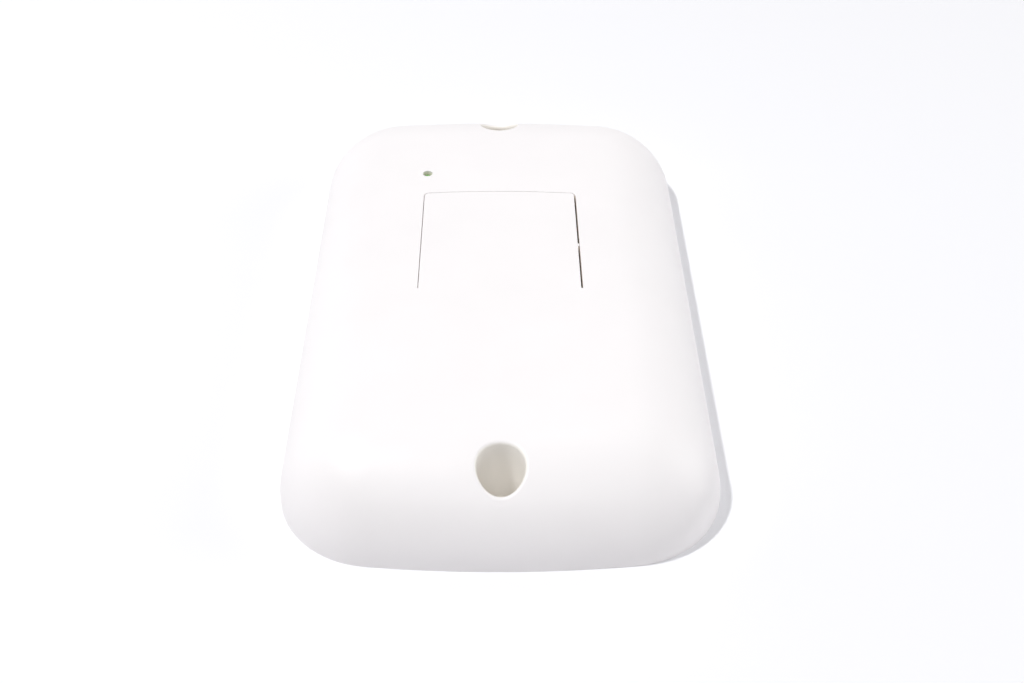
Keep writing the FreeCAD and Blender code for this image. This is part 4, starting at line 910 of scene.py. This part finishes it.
def around(box, others):
    """A box grown over the soldered ends that touch it."""
    low, high = box[0].copy(), box[1].copy()
    for other_low, other_high in others:
        if all(other_low[i] < box[1][i] + TOUCH and other_high[i] > box[0][i] - TOUCH for i in (0, 1)):
            low = Vector([min(low[i], other_low[i]) for i in range(3)])
            high = Vector([max(high[i], other_high[i]) for i in range(3)])
    return low, high


legend = bmesh.new()
for box in bodies + [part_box("crystal_base"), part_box("switch_cover_plate")]:
    low, high = around(box, ends)
    grow = Vector((1, 1, 0)) * LEGEND_MARGIN
    outline(legend, low - grow, high + grow)
ink = moulded_plastic("legend_ink", srgb(232, 232, 226), grain_mm=0.1, relief_mm=0.004, roughness=0.55)
piece("board_legend", legend, ink)

# %% [markdown]
# ## The table
# The photograph was taken on a white sweep. A grid of one face is enough for it. Its colour is a light
# grey with a little blue, as the object's shadow has in the photograph. For rays that come straight from
# the camera or from a mirror-like surface it glows a little, so that the background turns white without
# more light on the object. The glow grows with the distance, where the lamps no longer reach.

# %% The table
TABLE_HALF = 3

table_mesh = bpy.data.meshes.new("table")
shape = bmesh.new()
bmesh.ops.create_grid(shape, x_segments=1, y_segments=1, size=TABLE_HALF)
shape.to_mesh(table_mesh)
shape.free()
table = bpy.data.objects.new("table", table_mesh)
bpy.context.scene.collection.objects.link(table)


def seen_directly(owner):
    """1 for rays from the camera, a mirror or glass, and 0 for the light that falls on things."""
    camera_ray, glossy_ray, clear_ray = [owner.node("ShaderNodeLightPath", {}, {}, f"Is {kind} Ray")
                                         for kind in ("Camera", "Glossy", "Transmission")]
    return owner.maths("MINIMUM", camera_ray + glossy_ray + clear_ray, 1.0)


NEAR_GLOW, FAR_GLOW = (0.06, 0.06, 0.06), (0.55, 0.55, 0.55)
NEAR_METRES, FAR_METRES = 0.25, 0.9

sweep = Finish("white_sweep", (0.87, 0.87, 0.9), roughness=1.0, specular_ior_level=0.0)
sweep_x, sweep_y, _ = sweep.axes()
far_off = sweep.spread(sweep.away(sweep_x, sweep_y), NEAR_METRES, FAR_METRES)
sweep.set(emission_color=sweep.blend(far_off, NEAR_GLOW, FAR_GLOW), emission_strength=seen_directly(sweep))
table_mesh.materials.append(sweep.material)
print("table and sweep ready")

# %% [markdown]
# ## The sky and the lamps
# A pale sky gives the soft light of a bright room. Like the table, it looks brighter than the light that
# it sheds. One small lamp from the upper left makes the narrow shadow that hugs the right side in the
# photograph. A large one on the viewer's side lights the walls of the screw recesses, a weak one behind
# lifts the far end, and two large low ones stand for the white reflectors that lighten the sides. Light
# adds up, so the powers were worked out from one picture by each lamp alone, and they leave white
# plastic about as white as it is written.

# %% The sky and the lamps
SKY_SHED = 0.3
SKY_COLOUR = (0.8, 0.8, 0.8, 1)

world = bpy.data.worlds.new("sky")
bpy.context.scene.world = world
world.use_nodes = True
sky = Nodes(world.node_tree)
strength = SKY_SHED + seen_directly(sky) * (1 - SKY_SHED)
light = sky.node("ShaderNodeBackground", {}, {"Color": SKY_COLOUR, "Strength": strength})
sky.node("ShaderNodeOutputWorld", {}, {"Surface": light})


def lamp(name, place, side, watts):
    """A square lamp that faces the middle of the object, with its place and side in metres."""
    source = bpy.data.lights.new(name, "AREA")
    source.shape = "SQUARE"
    source.size = side
    source.energy = watts
    item = bpy.data.objects.new(name, source)
    item.location = place
    item.rotation_mode = "QUATERNION"
    item.rotation_quaternion = (-Vector(place)).to_track_quat("-Z", "Y")
    bpy.context.scene.collection.objects.link(item)


lamp("key_upper_left", (-0.42, -0.03, 0.9), side=0.06, watts=5.5)
lamp("soft_front", (0, -0.7, 0.75), side=0.3, watts=2.0)
lamp("soft_behind", (0.1, 0.6, 0.75), side=0.3, watts=0.8)
lamp("reflector_right", (0.72, 0.1, 0.22), side=0.5, watts=2.1)
lamp("reflector_left", (-0.72, 0.35, 0.3), side=0.5, watts=0.8)
bpy.context.scene.view_settings.view_transform = "Standard"
print("lamps:", [item.name for item in bpy.data.lights])
